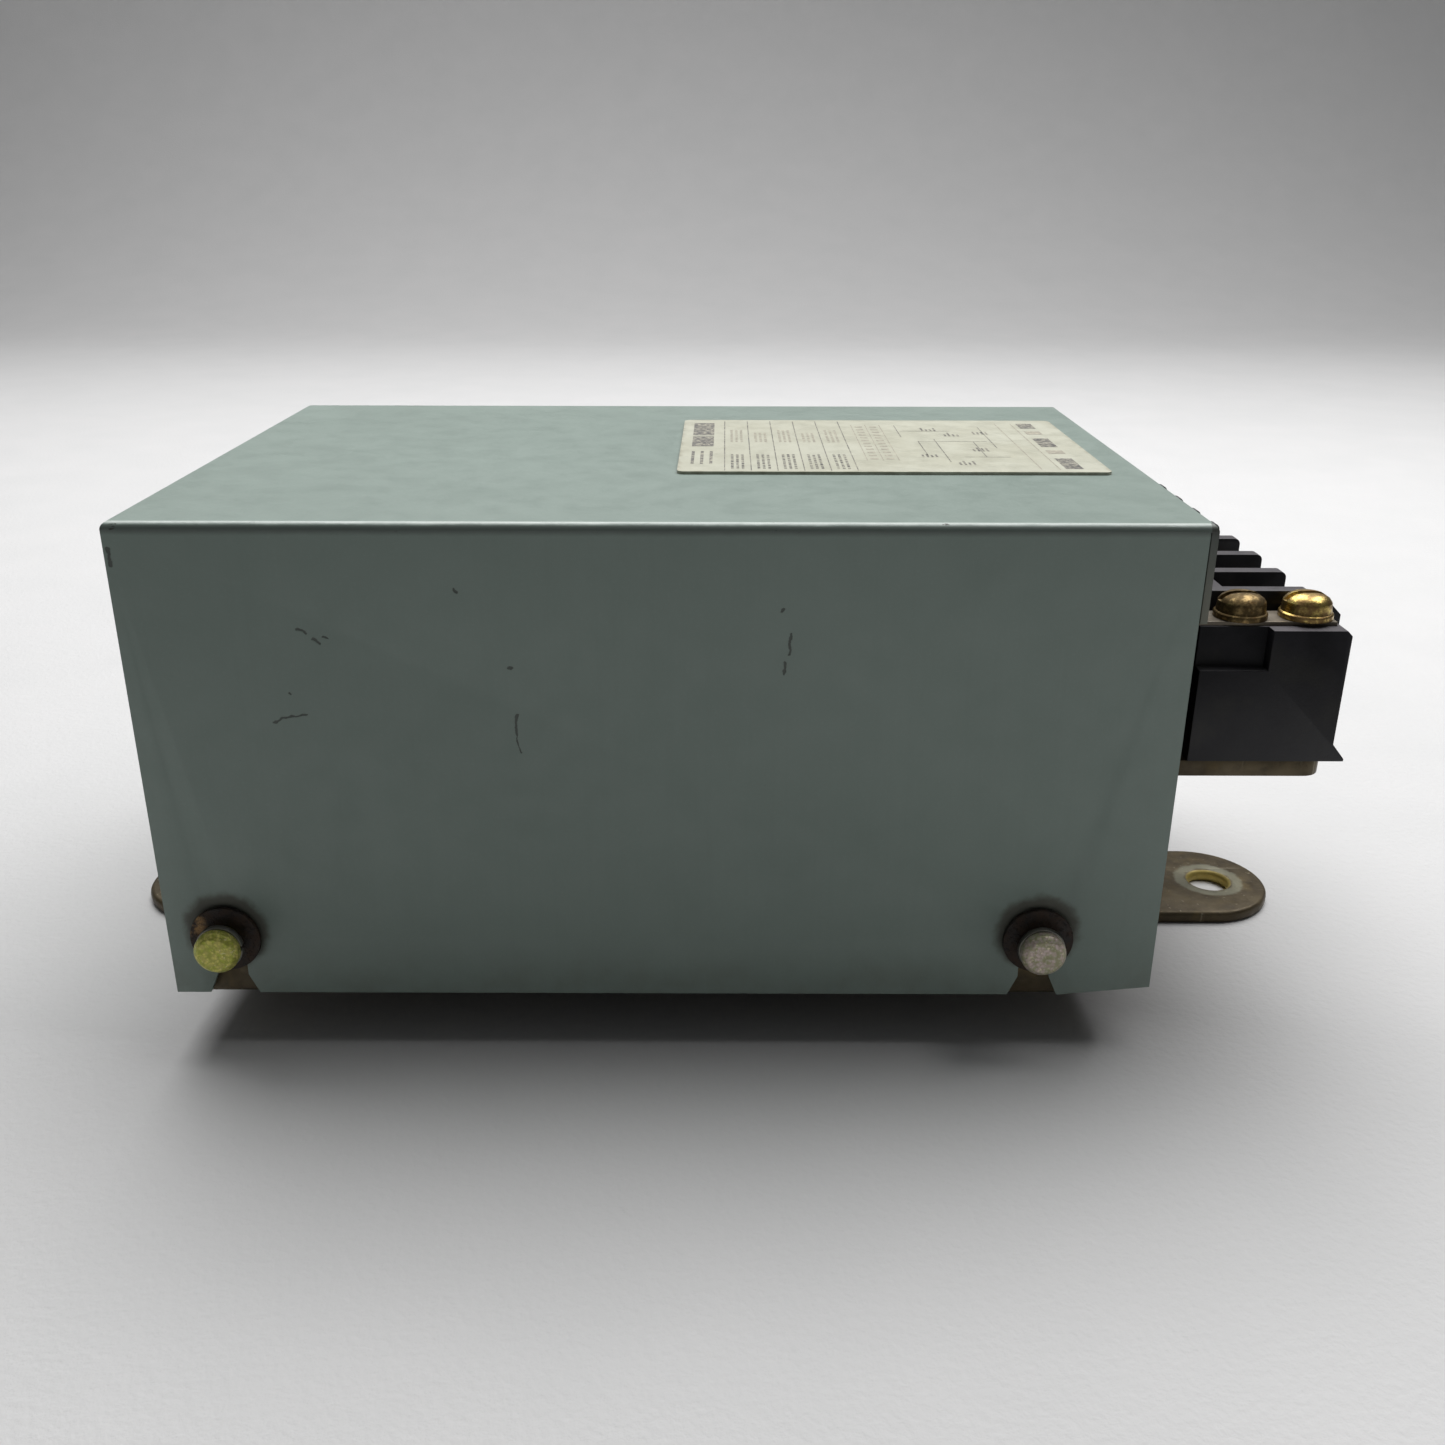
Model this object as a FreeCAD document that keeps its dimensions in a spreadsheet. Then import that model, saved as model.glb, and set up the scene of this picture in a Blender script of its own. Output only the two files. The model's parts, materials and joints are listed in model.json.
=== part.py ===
"""Chassis-mounted solid state relay in a sheet metal case with a screw terminal block.

Lengths are millimetres. The origin lies on the surface the relay is bolted to, midway
between the two mounting holes. +X runs along the mounting strap towards the terminal
block, +Y to the back and +Z up. The spreadsheet holds the driving dimensions.
"""
import FreeCAD, Part
import math
import os
import re
import Sketcher

SIZES = (
    # folded cover
    ("cover_length", 151.2), ("cover_depth", 100), ("cover_height", 74),
    ("cover_gauge", 1), ("cover_bend", 1.1), ("cover_middle", -5.9), ("cover_base", 9.2),
    ("seam_gap", 0.15), ("end_skirt", 14), ("slide_gap", 0.3),
    ("notch_rise", 10), ("notch_left", 9), ("notch_right", 19.2),
    ("notch_neck", 4.8), ("notch_mouth", 7.6), ("notch_flare", 3.2), ("notch_eye", 2.6),
    ("corner_run", 14.9), ("corner_lift", 1.6),
    # nameplate on the cover
    ("plate_start", 76.9), ("plate_length", 68.2), ("plate_inset", 32.2),
    ("plate_depth", 47.6), ("plate_gauge", 0.5), ("plate_corner", 1.2),
    # chassis tray, its flanges and the shelf that carries the terminal block
    ("chassis_gauge", 2.5), ("tray_base", 8.4), ("tray_bend", 0.9), ("flange_height", 27.8),
    ("wall_height", 71.2), ("window_height", 62.8), ("shelf_height", 37.3),
    ("shelf_reach", 24.3),
    ("shelf_near", -43.2), ("shelf_far", 40.6), ("shelf_corner", 3),
    # mounting strap and its rivets
    ("strap_length", 210.6), ("strap_width", 25), ("strap_gauge", 2.3),
    ("mount_spacing", 190), ("mount_bore", 3.6), ("crank_run", 4), ("crank_shift", 1.3),
    ("crank_left", -80.5), ("crank_right", 67.3),
    ("rivet_left", -70.5), ("rivet_right", 55), ("rivet_side", 6),
    ("rivet_radius", 1.95), ("rivet_bore", 2), ("rivet_head", 3.5), ("rivet_crown", 1.4),
    # cover screws and what sits on them
    ("cap_radius", 3.35), ("cap_height", 2), ("cap_round", 0.7), ("cap_standoff", 3.8),
    ("cap_shank", 1.95), ("cap_length", 12), ("cap_bore", 2), ("nut_radius", 3.7),
    ("nut_height", 3), ("spring_inner", 2.05), ("spring_outer", 3.5), ("spring_height", 1),
    ("spring_split", 0.7), ("spring_play", 0.05), ("washer_inner", 2.3),
    ("washer_outer", 5.3), ("washer_height", 0.8), ("washer_gap", 0.3),
    # terminal block
    ("block_gap", 2.2), ("block_near", -43.5), ("block_width", 21.4), ("block_length", 84.4),
    ("block_height", 20.4), ("foot_lip", 1.9), ("foot_height", 2.7), ("shoulder", 0.8),
    ("pole_pitch", 10.4), ("pole_first", 5.2), ("pole_count", 8),
    ("channel_start", 5.9), ("channel_drop", 4.5), ("barrier_end", 18.7),
    ("barrier_rise", 3.3), ("barrier_thick", 2.4), ("barrier_corner", 1),
    ("rib_reach", 2), ("rib_step", 1.4), ("screw_inner", 6.7), ("screw_outer", 16.3),
    ("well_radius", 2.35), ("well_depth", 10.8), ("recess_right", 10),
    ("recess_low", 14.3), ("recess_depth", 2.2),
    # contacts and terminal screws
    ("contact_gauge", 0.6), ("contact_width", 5.5), ("contact_end", 20), ("tail_reach", 14),
    ("contact_bore", 2.08), ("contact_play", 0.1), ("pan_radius", 3.55), ("pan_height", 3.7),
    ("pan_flange", 3.85), ("pan_rim", 0.9), ("pan_shank", 2), ("pan_length", 10),
    ("pan_play", 0.05), ("slot_width", 1.1), ("slot_depth", 1.3),
    ("fixing_radius", 1.5), ("fixing_length", 7), ("fixing_head", 2.8), ("fixing_rise", 2),
    ("fixing_bore", 1.55), ("fixing_first", 15.6), ("fixing_second", 67.6),
    # heat spreader and power modules
    ("spreader_left", -62), ("spreader_length", 104), ("spreader_depth", 76),
    ("spreader_height", 6), ("fin_height", 12), ("fin_gauge", 2), ("fin_pitch", 4.6),
    ("fin_first", 20), ("fin_count", 4), ("spreader_screw_inset", 3.2),
    ("spreader_screw_side", 34), ("module_first", -53.5), ("module_pitch", 30),
    ("module_width", 28), ("module_depth", 48), ("module_near", -35), ("module_foot", 4),
    ("module_height", 12), ("module_ear", 7), ("module_ear_screw", 3.5), ("pad_gauge", 0.5),
    ("stud_radius", 2.2), ("stud_height", 3), ("stud_side", 9), ("machine_radius", 1.95),
    ("machine_bore", 2), ("machine_head", 3.4), ("machine_rise", 2.2),
    # circuit board and its parts
    ("board_left", -71), ("board_length", 122), ("board_depth", 84), ("board_gauge", 1.6),
    ("sheet_gauge", 0.5), ("standoff_height", 38), ("standoff_radius", 3),
    ("standoff_bore", 1.55), ("standoff_left", -66), ("standoff_right", 46.5),
    ("standoff_side", 35), ("board_screw_length", 6),
    # wiring
    ("wire_radius", 1.2), ("wire_bend", 4), ("lug_hold", 2.4),
)

# Places that several pieces share, as expressions of the sheet's names.
COVER_RIGHT = "cover_middle + cover_length / 2"
COVER_LEFT = "cover_middle - cover_length / 2"
CHASSIS_HALF = "cover_length / 2 - cover_gauge - slide_gap"
CHASSIS_SIDE = "cover_depth / 2 - cover_gauge - slide_gap"
TRAY_TOP = "tray_base + chassis_gauge"
SPREADER_TOP = TRAY_TOP + " + spreader_height"
SHEET_LOW = TRAY_TOP + " + standoff_height"
BOARD_LOW = SHEET_LOW + " + sheet_gauge"
BOARD_TOP = BOARD_LOW + " + board_gauge"
BLOCK_X = COVER_RIGHT + " + block_gap"
SHELF_TOP = "tray_base + shelf_height"
NOTCH_XS = ("notch_left - cover_length / 2", "cover_length / 2 - notch_right")
RIVET_PLACES = tuple((x, y) for x in ("rivet_left", "rivet_right")
                     for y in ("-rivet_side", "rivet_side"))
STANDOFF_PLACES = tuple((x, y) for x in ("standoff_left", "standoff_right")
                        for y in ("-standoff_side", "standoff_side"))
SPREADER_SCREW_PLACES = tuple(
    (x, y) for x in ("spreader_left + spreader_screw_inset",
                     "spreader_left + spreader_length - spreader_screw_inset")
    for y in ("-spreader_screw_side", "spreader_screw_side"))
FIXING_YS = ("fixing_first", "fixing_second")
POLES = range(8)
MODULES = range(3)
ORIGIN = ("0", "0", "0")
HEAD_TO_FRONT = FreeCAD.Rotation(FreeCAD.Vector(1, 0, 0), 90)
HEAD_TO_BACK = FreeCAD.Rotation(FreeCAD.Vector(1, 0, 0), -90)
HEAD_DOWN = FreeCAD.Rotation(FreeCAD.Vector(1, 0, 0), 180)

doc = FreeCAD.newDocument("SolidStateRelay")
sizes = doc.addObject("Spreadsheet::Sheet", "Sizes")
pieces = []


# ---------------------------------------------------------------- shared helpers

def fill_sheet():
    """Write every driving dimension into the sheet and give its cell a name."""
    for row, (name, number) in enumerate(SIZES, start=1):
        sizes.set("A%d" % row, name)
        sizes.set("B%d" % row, str(number))
        sizes.setAlias("B%d" % row, name)
    doc.recompute()


def bound(expression):
    """The expression with each sheet name in it made absolute."""
    return re.sub(r"[a-z][a-z_]+", lambda match: "Sizes." + match.group(0), str(expression))


def value(expression):
    """The number that an expression of the sheet's names has now."""
    return float(sizes.evalExpression(bound(expression)))


def place(item, spot, rotation=None):
    """Bind an object's position to three expressions."""
    if rotation is not None:
        item.Placement = FreeCAD.Placement(FreeCAD.Vector(), rotation)
    for axis, expression in zip("xyz", spot):
        item.setExpression("Placement.Base." + axis, bound(expression))


def keep(item, label, spot=ORIGIN, rotation=None):
    """Name an object as a sub-part of the relay and put it in its place."""
    item.Label = label
    place(item, spot, rotation)
    pieces.append(item)
    return item


def box(corner, lengths, name="Block"):
    """A box from its lowest corner."""
    item = doc.addObject("Part::Box", name)
    for side, expression in zip(("Length", "Width", "Height"), lengths):
        item.setExpression(side, bound(expression))
    place(item, corner)
    return item


def cylinder(foot, radius, height, rotation=None, name="Round"):
    """A cylinder that stands on its foot along its own Z."""
    item = doc.addObject("Part::Cylinder", name)
    item.setExpression("Radius", bound(radius))
    item.setExpression("Height", bound(height))
    place(item, foot, rotation)
    return item


def cut(base, tool):
    """One object less another."""
    item = doc.addObject("Part::Cut", "Cut")
    item.Base = base
    item.Tool = tool
    return item


def fuse(shapes):
    """Touching objects joined into one solid."""
    item = doc.addObject("Part::MultiFuse", "Joined")
    item.Shapes = shapes
    return item


def group(label, members):
    """Identical pieces kept as separate solids in one sub-part."""
    item = doc.addObject("Part::Compound", "Group")
    item.Links = members
    return keep(item, label)


def new_body(name):
    """An empty PartDesign body."""
    return doc.addObject("PartDesign::Body", name)


def new_sketch(body, plane_role, offset="0"):
    """A sketch on one of the body's own origin planes, moved along its normal."""
    planes = body.Origin.OriginFeatures
    plane = next(item for item in planes if item.Role == plane_role)
    item = body.newObject("Sketcher::SketchObject", "Outline")
    item.AttachmentSupport = (plane, [""])
    item.MapMode = "FlatFace"
    if offset != "0":
        item.setExpression("AttachmentOffset.Base.z", bound(offset))
    return item


def hold(sketch, element, vertex, spot):
    """Fix a point of a sketch by its two coordinates."""
    for kind, zero_axis, expression in (("DistanceX", -2, spot[0]), ("DistanceY", -1, spot[1])):
        size = value(expression)
        if abs(size) < 1e-9:
            rule = Sketcher.Constraint("PointOnObject", element, vertex, zero_axis)
            sketch.addConstraint(rule)
            continue
        rule = Sketcher.Constraint(kind, -1, 1, element, vertex, size)
        index = sketch.addConstraint(rule)
        sketch.setExpression("Constraints[%d]" % index, bound(expression))


def draw_polygon(sketch, corners):
    """Add a closed outline of straight sides through the corners."""
    first = sketch.GeometryCount
    points = [FreeCAD.Vector(value(x), value(y), 0) for x, y in corners]
    count = len(points)
    for index, point in enumerate(points):
        side = Part.LineSegment(point, points[(index + 1) % count])
        sketch.addGeometry(side, False)
    for index, corner in enumerate(corners):
        side = first + index
        before = first + (index - 1) % count
        sketch.addConstraint(Sketcher.Constraint("Coincident", before, 2, side, 1))
        hold(sketch, side, 1, corner)


def draw_rectangle(sketch, left, low, right, high):
    """Add a rectangle by its two opposite corners."""
    draw_polygon(sketch, ((left, low), (right, low), (right, high), (left, high)))


def draw_circle(sketch, spot, radius):
    """Add a circle by its centre and radius."""
    centre = FreeCAD.Vector(value(spot[0]), value(spot[1]), 0)
    circle = Part.Circle(centre, FreeCAD.Vector(0, 0, 1), value(radius))
    element = sketch.addGeometry(circle, False)
    hold(sketch, element, 3, spot)
    index = sketch.addConstraint(Sketcher.Constraint("Radius", element, value(radius)))
    sketch.setExpression("Constraints[%d]" % index, bound(radius))


def pad(body, sketch, length, side="One side", backwards=False):
    """Add material from a sketch."""
    item = body.newObject("PartDesign::Pad", "Pad")
    item.Profile = sketch
    item.SideType = side
    item.Reversed = backwards
    item.setExpression("Length", bound(length))
    doc.recompute()
    return item


def pocket(body, sketch, length, backwards=False):
    """Remove material from a sketch down to a depth, and check that some went."""
    before = body.Shape.Volume
    item = body.newObject("PartDesign::Pocket", "Pocket")
    item.Profile = sketch
    item.Reversed = backwards
    item.setExpression("Length", bound(length))
    return checked_cut(item, body, before)


def pocket_through(body, sketch):
    """Remove material from a sketch right through both ways."""
    before = body.Shape.Volume
    item = body.newObject("PartDesign::Pocket", "Pocket")
    item.Profile = sketch
    item.Type = "ThroughAll"
    item.SideType = "Symmetric"
    return checked_cut(item, body, before)


def checked_cut(item, body, before):
    """Stop if a cut removed nothing."""
    doc.recompute()
    if body.Shape.Volume > before - 1e-4:
        raise RuntimeError("a pocket of %s removed nothing" % body.Name)
    return item


def edges_near(shape, test):
    """Names of the edges whose two ends and middle all pass a test."""
    names = []
    for number, edge in enumerate(shape.Edges, start=1):
        middle = edge.valueAt((edge.FirstParameter + edge.LastParameter) / 2)
        points = [vertex.Point for vertex in edge.Vertexes] + [middle]
        if all(test(point) for point in points):
            names.append("Edge%d" % number)
    return names


def fillet(body, radius, test):
    """Round the edges of a body that pass a test."""
    base = (body.Tip, edges_near(body.Shape, test))
    item = body.newObject("PartDesign::Fillet", "Rounded")
    item.Base = base
    item.setExpression("Radius", bound(radius))
    doc.recompute()
    return item


def repeat(body, feature, axis_role, span, count):
    """Repeat a feature along one of the body's axes."""
    axes = body.Origin.OriginFeatures
    axis = next(item for item in axes if item.Role == axis_role)
    item = body.newObject("PartDesign::LinearPattern", "Row")
    item.Originals = [feature]
    item.Direction = (axis, [""])
    item.setExpression("Length", bound(span))
    item.setExpression("Occurrences", bound(count))
    body.Tip = item
    doc.recompute()
    return item


def revolve(body, corners):
    """Turn an outline, drawn to the right of the Z axis, into a round piece."""
    sketch = new_sketch(body, "XZ_Plane")
    draw_polygon(sketch, corners)
    item = body.newObject("PartDesign::Revolution", "Turned")
    item.Profile = sketch
    item.ReferenceAxis = (sketch, ["V_Axis"])
    item.Angle = 360
    doc.recompute()
    return item


def is_near(number, expression):
    """Whether a coordinate equals an expression."""
    return abs(number - value(expression)) < 1e-4


# ---------------------------------------------------------------- cover and nameplate

def make_cover():
    """Five-sided folded cover, open below, with open corner seams."""
    body = new_body("Cover")
    outline = new_sketch(body, "XY_Plane")
    draw_rectangle(outline, "-cover_length / 2", "-cover_depth / 2",
                   "cover_length / 2", "cover_depth / 2")
    pad(body, outline, "cover_height")
    fillet(body, "cover_bend", lambda point: is_near(point.z, "cover_height"))
    hollow = new_sketch(body, "XY_Plane")
    draw_rectangle(hollow, "cover_gauge - cover_length / 2", "cover_gauge - cover_depth / 2",
                   "cover_length / 2 - cover_gauge", "cover_depth / 2 - cover_gauge")
    pocket(body, hollow, "cover_height - cover_gauge", backwards=True)
    inside = "cover_height - cover_gauge"
    fillet(body, "cover_bend - cover_gauge", lambda point: is_near(point.z, inside))
    cut_corner_seams(body)
    cut_end_opening(body)
    cut_notches(body)
    return keep(body, "cover", ("cover_middle", "0", "cover_base"))


def cut_corner_seams(body):
    """Narrow gaps where the folded front and back meet the folded ends.

    At the plain end the gaps lie in the end wall, and at the other in the front and back.
    """
    high = "cover_height - cover_bend"
    side = "cover_depth / 2 - cover_gauge"
    end_gaps = new_sketch(body, "YZ_Plane", "-cover_length / 2")
    draw_rectangle(end_gaps, "-(%s)" % side, "-1", "seam_gap - (%s)" % side, high)
    draw_rectangle(end_gaps, side + " - seam_gap", "-1", side, high)
    pocket(body, end_gaps, "cover_gauge", backwards=True)
    edge = "cover_length / 2 - cover_gauge"
    side_gaps = new_sketch(body, "XZ_Plane")
    draw_rectangle(side_gaps, edge + " - seam_gap", "-1", edge, high)
    pocket_through(body, side_gaps)


def cut_end_opening(body):
    """The terminal end is only a short skirt, open below it."""
    opening = new_sketch(body, "XZ_Plane")
    draw_rectangle(opening, "cover_length / 2 - cover_gauge", "-1",
                   "cover_length / 2 + 1", "cover_height - end_skirt")
    pocket_through(body, opening)


def cut_notches(body):
    """Notches that pass the cover screws, and the rising lower edge at one corner."""
    slots = new_sketch(body, "XZ_Plane")
    eyes = new_sketch(body, "XZ_Plane")
    for middle in NOTCH_XS:
        corners = []
        for side in ("-", "+"):
            rows = [("notch_mouth", "-1"), ("notch_mouth", "0"),
                    ("notch_neck", "notch_flare"), ("notch_neck", "notch_rise")]
            if side == "+":
                rows.reverse()
            corners += [("%s %s %s / 2" % (middle, side, width), rise) for width, rise in rows]
        draw_polygon(slots, corners)
        draw_circle(eyes, (middle, "notch_rise"), "notch_eye")
    turned_in = "cover_length / 2 - corner_run"
    draw_polygon(slots, (
        (turned_in, "-1"), (turned_in, "0"), ("cover_length / 2 + 1", "corner_lift"),
        ("cover_length / 2 + 1", "-1")))
    pocket_through(body, slots)
    pocket_through(body, eyes)


def make_nameplate():
    """Thin plate on the top of the cover."""
    body = new_body("Nameplate")
    outline = new_sketch(body, "XY_Plane")
    draw_rectangle(outline, "0", "0", "plate_length", "plate_depth")
    pad(body, outline, "plate_gauge")
    fillet(body, "plate_corner", is_plate_corner)
    spot = (COVER_LEFT + " + plate_start", "plate_inset - cover_depth / 2",
            "cover_base + cover_height")
    return keep(body, "nameplate", spot)


def is_plate_corner(point):
    """Whether a point lies on a vertical corner of the nameplate."""
    along = is_near(point.x, "0") or is_near(point.x, "plate_length")
    across = is_near(point.y, "0") or is_near(point.y, "plate_depth")
    return along and across


# ---------------------------------------------------------------- chassis and strap

def make_chassis():
    """Folded tray with a tall end wall whose lanced tab is the terminal shelf."""
    body = new_body("Chassis")
    section = new_sketch(body, "YZ_Plane")
    side = CHASSIS_SIDE
    inner = side + " - chassis_gauge"
    draw_polygon(section, (
        ("-(%s)" % side, "0"), (side, "0"), (side, "flange_height"),
        (inner, "flange_height"), (inner, "chassis_gauge"),
        ("-(%s)" % inner, "chassis_gauge"), ("-(%s)" % inner, "flange_height"),
        ("-(%s)" % side, "flange_height")))
    pad(body, section, "2 * (%s)" % CHASSIS_HALF, side="Symmetric")
    add_left_flange(body)
    add_end_wall(body)
    add_shelf(body)
    fillet(body, "tray_bend", is_tray_bend)
    trim_flange_corners(body)
    cut_chassis_holes(body)
    return keep(body, "chassis", ("cover_middle", "0", "tray_base"))


def is_tray_bend(point):
    """Whether a point lies on the lower edge of the front or back flange."""
    return is_near(point.z, "0") and is_near(abs(point.y), CHASSIS_SIDE)


def trim_flange_corners(body):
    """Lower corners of the front and back flanges, cut back where the cover's edge rises."""
    start = "cover_length / 2 - corner_run"
    for offset, is_back in ((CHASSIS_SIDE, False), ("-(%s)" % CHASSIS_SIDE, True)):
        corner = new_sketch(body, "XZ_Plane", offset)
        draw_polygon(corner, (
            (start, "-1"), (start, "0"), ("cover_length / 2", "corner_lift"),
            ("cover_length / 2", "-1")))
        pocket(body, corner, "chassis_gauge", backwards=is_back)


def add_left_flange(body):
    """Low flange at the plain end of the tray."""
    flange = new_sketch(body, "YZ_Plane", "-(%s)" % CHASSIS_HALF)
    draw_rectangle(flange, "-(%s)" % CHASSIS_SIDE, "chassis_gauge", CHASSIS_SIDE,
                   "flange_height")
    pad(body, flange, "chassis_gauge")


def add_end_wall(body):
    """Tall wall at the terminal end, with the window that the shelf was lanced from."""
    wall = new_sketch(body, "YZ_Plane", CHASSIS_HALF)
    draw_rectangle(wall, "-(%s)" % CHASSIS_SIDE, "chassis_gauge", CHASSIS_SIDE, "wall_height")
    draw_rectangle(wall, "shelf_near", "shelf_height", "shelf_far", "window_height")
    pad(body, wall, "chassis_gauge", backwards=True)


def add_shelf(body):
    """Shelf that carries the terminal block."""
    shelf = new_sketch(body, "XY_Plane", "shelf_height")
    outer = CHASSIS_HALF + " + shelf_reach"
    draw_rectangle(shelf, CHASSIS_HALF + " - chassis_gauge", "shelf_near", outer, "shelf_far")
    pad(body, shelf, "chassis_gauge", backwards=True)

    def is_corner(point):
        across = is_near(point.y, "shelf_near") or is_near(point.y, "shelf_far")
        return across and is_near(point.x, outer)

    fillet(body, "shelf_corner", is_corner)


def cut_chassis_holes(body):
    """Holes for the cover screws, rivets, standoffs, spreader and block screws."""
    flange_holes = new_sketch(body, "XZ_Plane")
    for middle in NOTCH_XS:
        draw_circle(flange_holes, (middle, "notch_rise + cover_base - tray_base"), "cap_bore")
    pocket_through(body, flange_holes)
    tray_holes = new_sketch(body, "XY_Plane")
    for places, radius in ((RIVET_PLACES, "rivet_bore"), (STANDOFF_PLACES, "fixing_bore"),
                           (SPREADER_SCREW_PLACES, "machine_bore")):
        for x, y in places:
            draw_circle(tray_holes, (x + " - cover_middle", y), radius)
    pocket(body, tray_holes, "chassis_gauge", backwards=True)
    shelf_holes = new_sketch(body, "XY_Plane", "shelf_height")
    for y in FIXING_YS:
        spot = ("cover_length / 2 + block_gap + block_width / 2", "block_near + " + y)
        draw_circle(shelf_holes, spot, "fixing_bore")
    pocket(body, shelf_holes, "chassis_gauge")


def make_strap():
    """Flat strap with round ends, cranked up between them to the tray's underside."""
    body = new_body("Strap")
    blank = new_sketch(body, "XY_Plane")
    half = "(strap_length - strap_width) / 2"
    draw_rectangle(blank, "-(%s)" % half, "-strap_width / 2", half, "strap_width / 2")
    pad(body, blank, "tray_base")
    ends = new_sketch(body, "XY_Plane")
    for sign in ("-", ""):
        draw_circle(ends, (sign + half, "0"), "strap_width / 2")
    pad(body, ends, "tray_base")
    pocket_through(body, draw_crank(body))
    holes = new_sketch(body, "XY_Plane")
    for sign in ("-", ""):
        draw_circle(holes, (sign + "mount_spacing / 2", "0"), "mount_bore")
    for spot in RIVET_PLACES:
        draw_circle(holes, spot, "rivet_bore")
    pocket_through(body, holes)
    return keep(body, "mounting_strap")


def draw_crank(body):
    """Side view of what is removed above the two ears and below the raised middle."""
    crank = new_sketch(body, "XZ_Plane")
    above = "tray_base + 1"
    beyond = "strap_length / 2 + 1"
    draw_polygon(crank, (
        ("-(%s)" % beyond, "strap_gauge"), ("crank_left - crank_shift", "strap_gauge"),
        ("crank_left - crank_shift + crank_run", "tray_base"),
        ("crank_left - crank_shift + crank_run", above), ("-(%s)" % beyond, above)))
    draw_polygon(crank, (
        (beyond, "strap_gauge"), ("crank_right + crank_shift", "strap_gauge"),
        ("crank_right + crank_shift - crank_run", "tray_base"),
        ("crank_right + crank_shift - crank_run", above), (beyond, above)))
    lifted = "tray_base - strap_gauge"
    draw_polygon(crank, (
        ("crank_left", "-1"), ("crank_left", "0"), ("crank_left + crank_run", lifted),
        ("crank_right - crank_run", lifted), ("crank_right", "0"), ("crank_right", "-1")))
    return crank


def make_rivets():
    """Rivets that join the strap to the tray."""
    rivets = []
    low = "tray_base - strap_gauge"
    for x, y in RIVET_PLACES:
        shank = cylinder((x, y, low), "rivet_radius", "strap_gauge + chassis_gauge")
        head = cylinder((x, y, low + " - rivet_crown"), "rivet_head", "rivet_crown")
        tail = cylinder((x, y, TRAY_TOP), "rivet_head", "rivet_crown")
        rivets.append(fuse([shank, head, tail]))
    return group("strap_rivets", rivets)


# ---------------------------------------------------------------- cover screws

def screw_sites():
    """Name, X and side of each of the four cover screws."""
    sites = []
    for end, x in zip(("left", "right"), NOTCH_XS):
        for side, sign in (("front", "-"), ("back", "")):
            sites.append((side + "_" + end, "cover_middle + " + x, sign))
    return sites


def make_cover_screws():
    """Round-headed screws, backed off from the cover, with a split washer each."""
    for name, x, sign in screw_sites():
        turn = HEAD_TO_FRONT if sign == "-" else HEAD_TO_BACK
        body = new_body("CoverScrew")
        revolve(body, (
            ("0", "-cap_length"), ("cap_shank - 0.4", "-cap_length"),
            ("cap_shank", "0.4 - cap_length"), ("cap_shank", "0"), ("cap_radius", "0"),
            ("cap_radius", "cap_height - cap_round"), ("cap_radius - cap_round", "cap_height"),
            ("0", "cap_height")))
        face = "%s(cover_depth / 2 + cap_standoff)" % sign
        spot = (x, face, "cover_base + notch_rise")
        keep(body, "cover_screw_" + name, spot, turn)
        keep(make_spring_washer(), "spring_washer_" + name, spot, turn)


def make_spring_washer():
    """Split washer under a screw head."""
    low = "-spring_play - spring_height"
    ring = cut(cylinder(("0", "0", low), "spring_outer", "spring_height"),
               cylinder(("0", "0", low), "spring_inner", "spring_height"))
    gap = box(("0", "-spring_split / 2", low),
              ("spring_outer + 1", "spring_split", "spring_height"))
    return cut(ring, gap)


def make_cover_washers_and_nuts():
    """Flat washers outside the cover, and nuts clinched inside the tray flanges."""
    washers = []
    nuts = []
    for _, x, sign in screw_sites():
        turn = HEAD_TO_FRONT if sign == "-" else HEAD_TO_BACK
        height = "cover_base + notch_rise"
        spot = (x, "%s(cover_depth / 2 + washer_gap)" % sign, height)
        washers.append(cut(cylinder(spot, "washer_outer", "washer_height", turn),
                           cylinder(spot, "washer_inner", "washer_height", turn)))
        inside = CHASSIS_SIDE + " - chassis_gauge - nut_height"
        spot = (x, "%s(%s)" % (sign, inside), height)
        nuts.append(cut(cylinder(spot, "nut_radius", "nut_height", turn),
                        cylinder(spot, "cap_bore", "nut_height", turn)))
    group("cover_washers", washers)
    group("clinch_nuts", nuts)


# ---------------------------------------------------------------- terminal block

def make_terminal_block():
    """Moulded block: one raised pole of two screws, then seven poles in deep channels."""
    body = new_body("TerminalBlock")
    section = new_sketch(body, "XZ_Plane")
    foot = "block_width + foot_lip"
    draw_polygon(section, (
        ("0", "0"), (foot, "0"), (foot, "0.4"), ("block_width", "foot_height"),
        ("block_width", "block_height - shoulder"), ("block_width - shoulder", "block_height"),
        ("0", "block_height")))
    pad(body, section, "block_length", backwards=True)
    cut_channels(body)
    add_inner_wall(body)
    add_barriers(body)
    cut_wells(body)
    cut_end_recess(body)
    cut_fixing_holes(body)
    return keep(body, "terminal_block", (BLOCK_X, "block_near", SHELF_TOP))


def cut_channels(body):
    """Channels of the second to the last pole, open at the outer side."""
    channels = new_sketch(body, "XY_Plane", "block_height")
    for pole in POLES[1:]:
        start = "pole_pitch * %d + barrier_thick / 2" % pole
        end = "pole_pitch * %d - barrier_thick / 2" % (pole + 1)
        draw_rectangle(channels, "channel_start", start, "block_width + foot_lip + 1", end)
    pocket(body, channels, "channel_drop")


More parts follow.
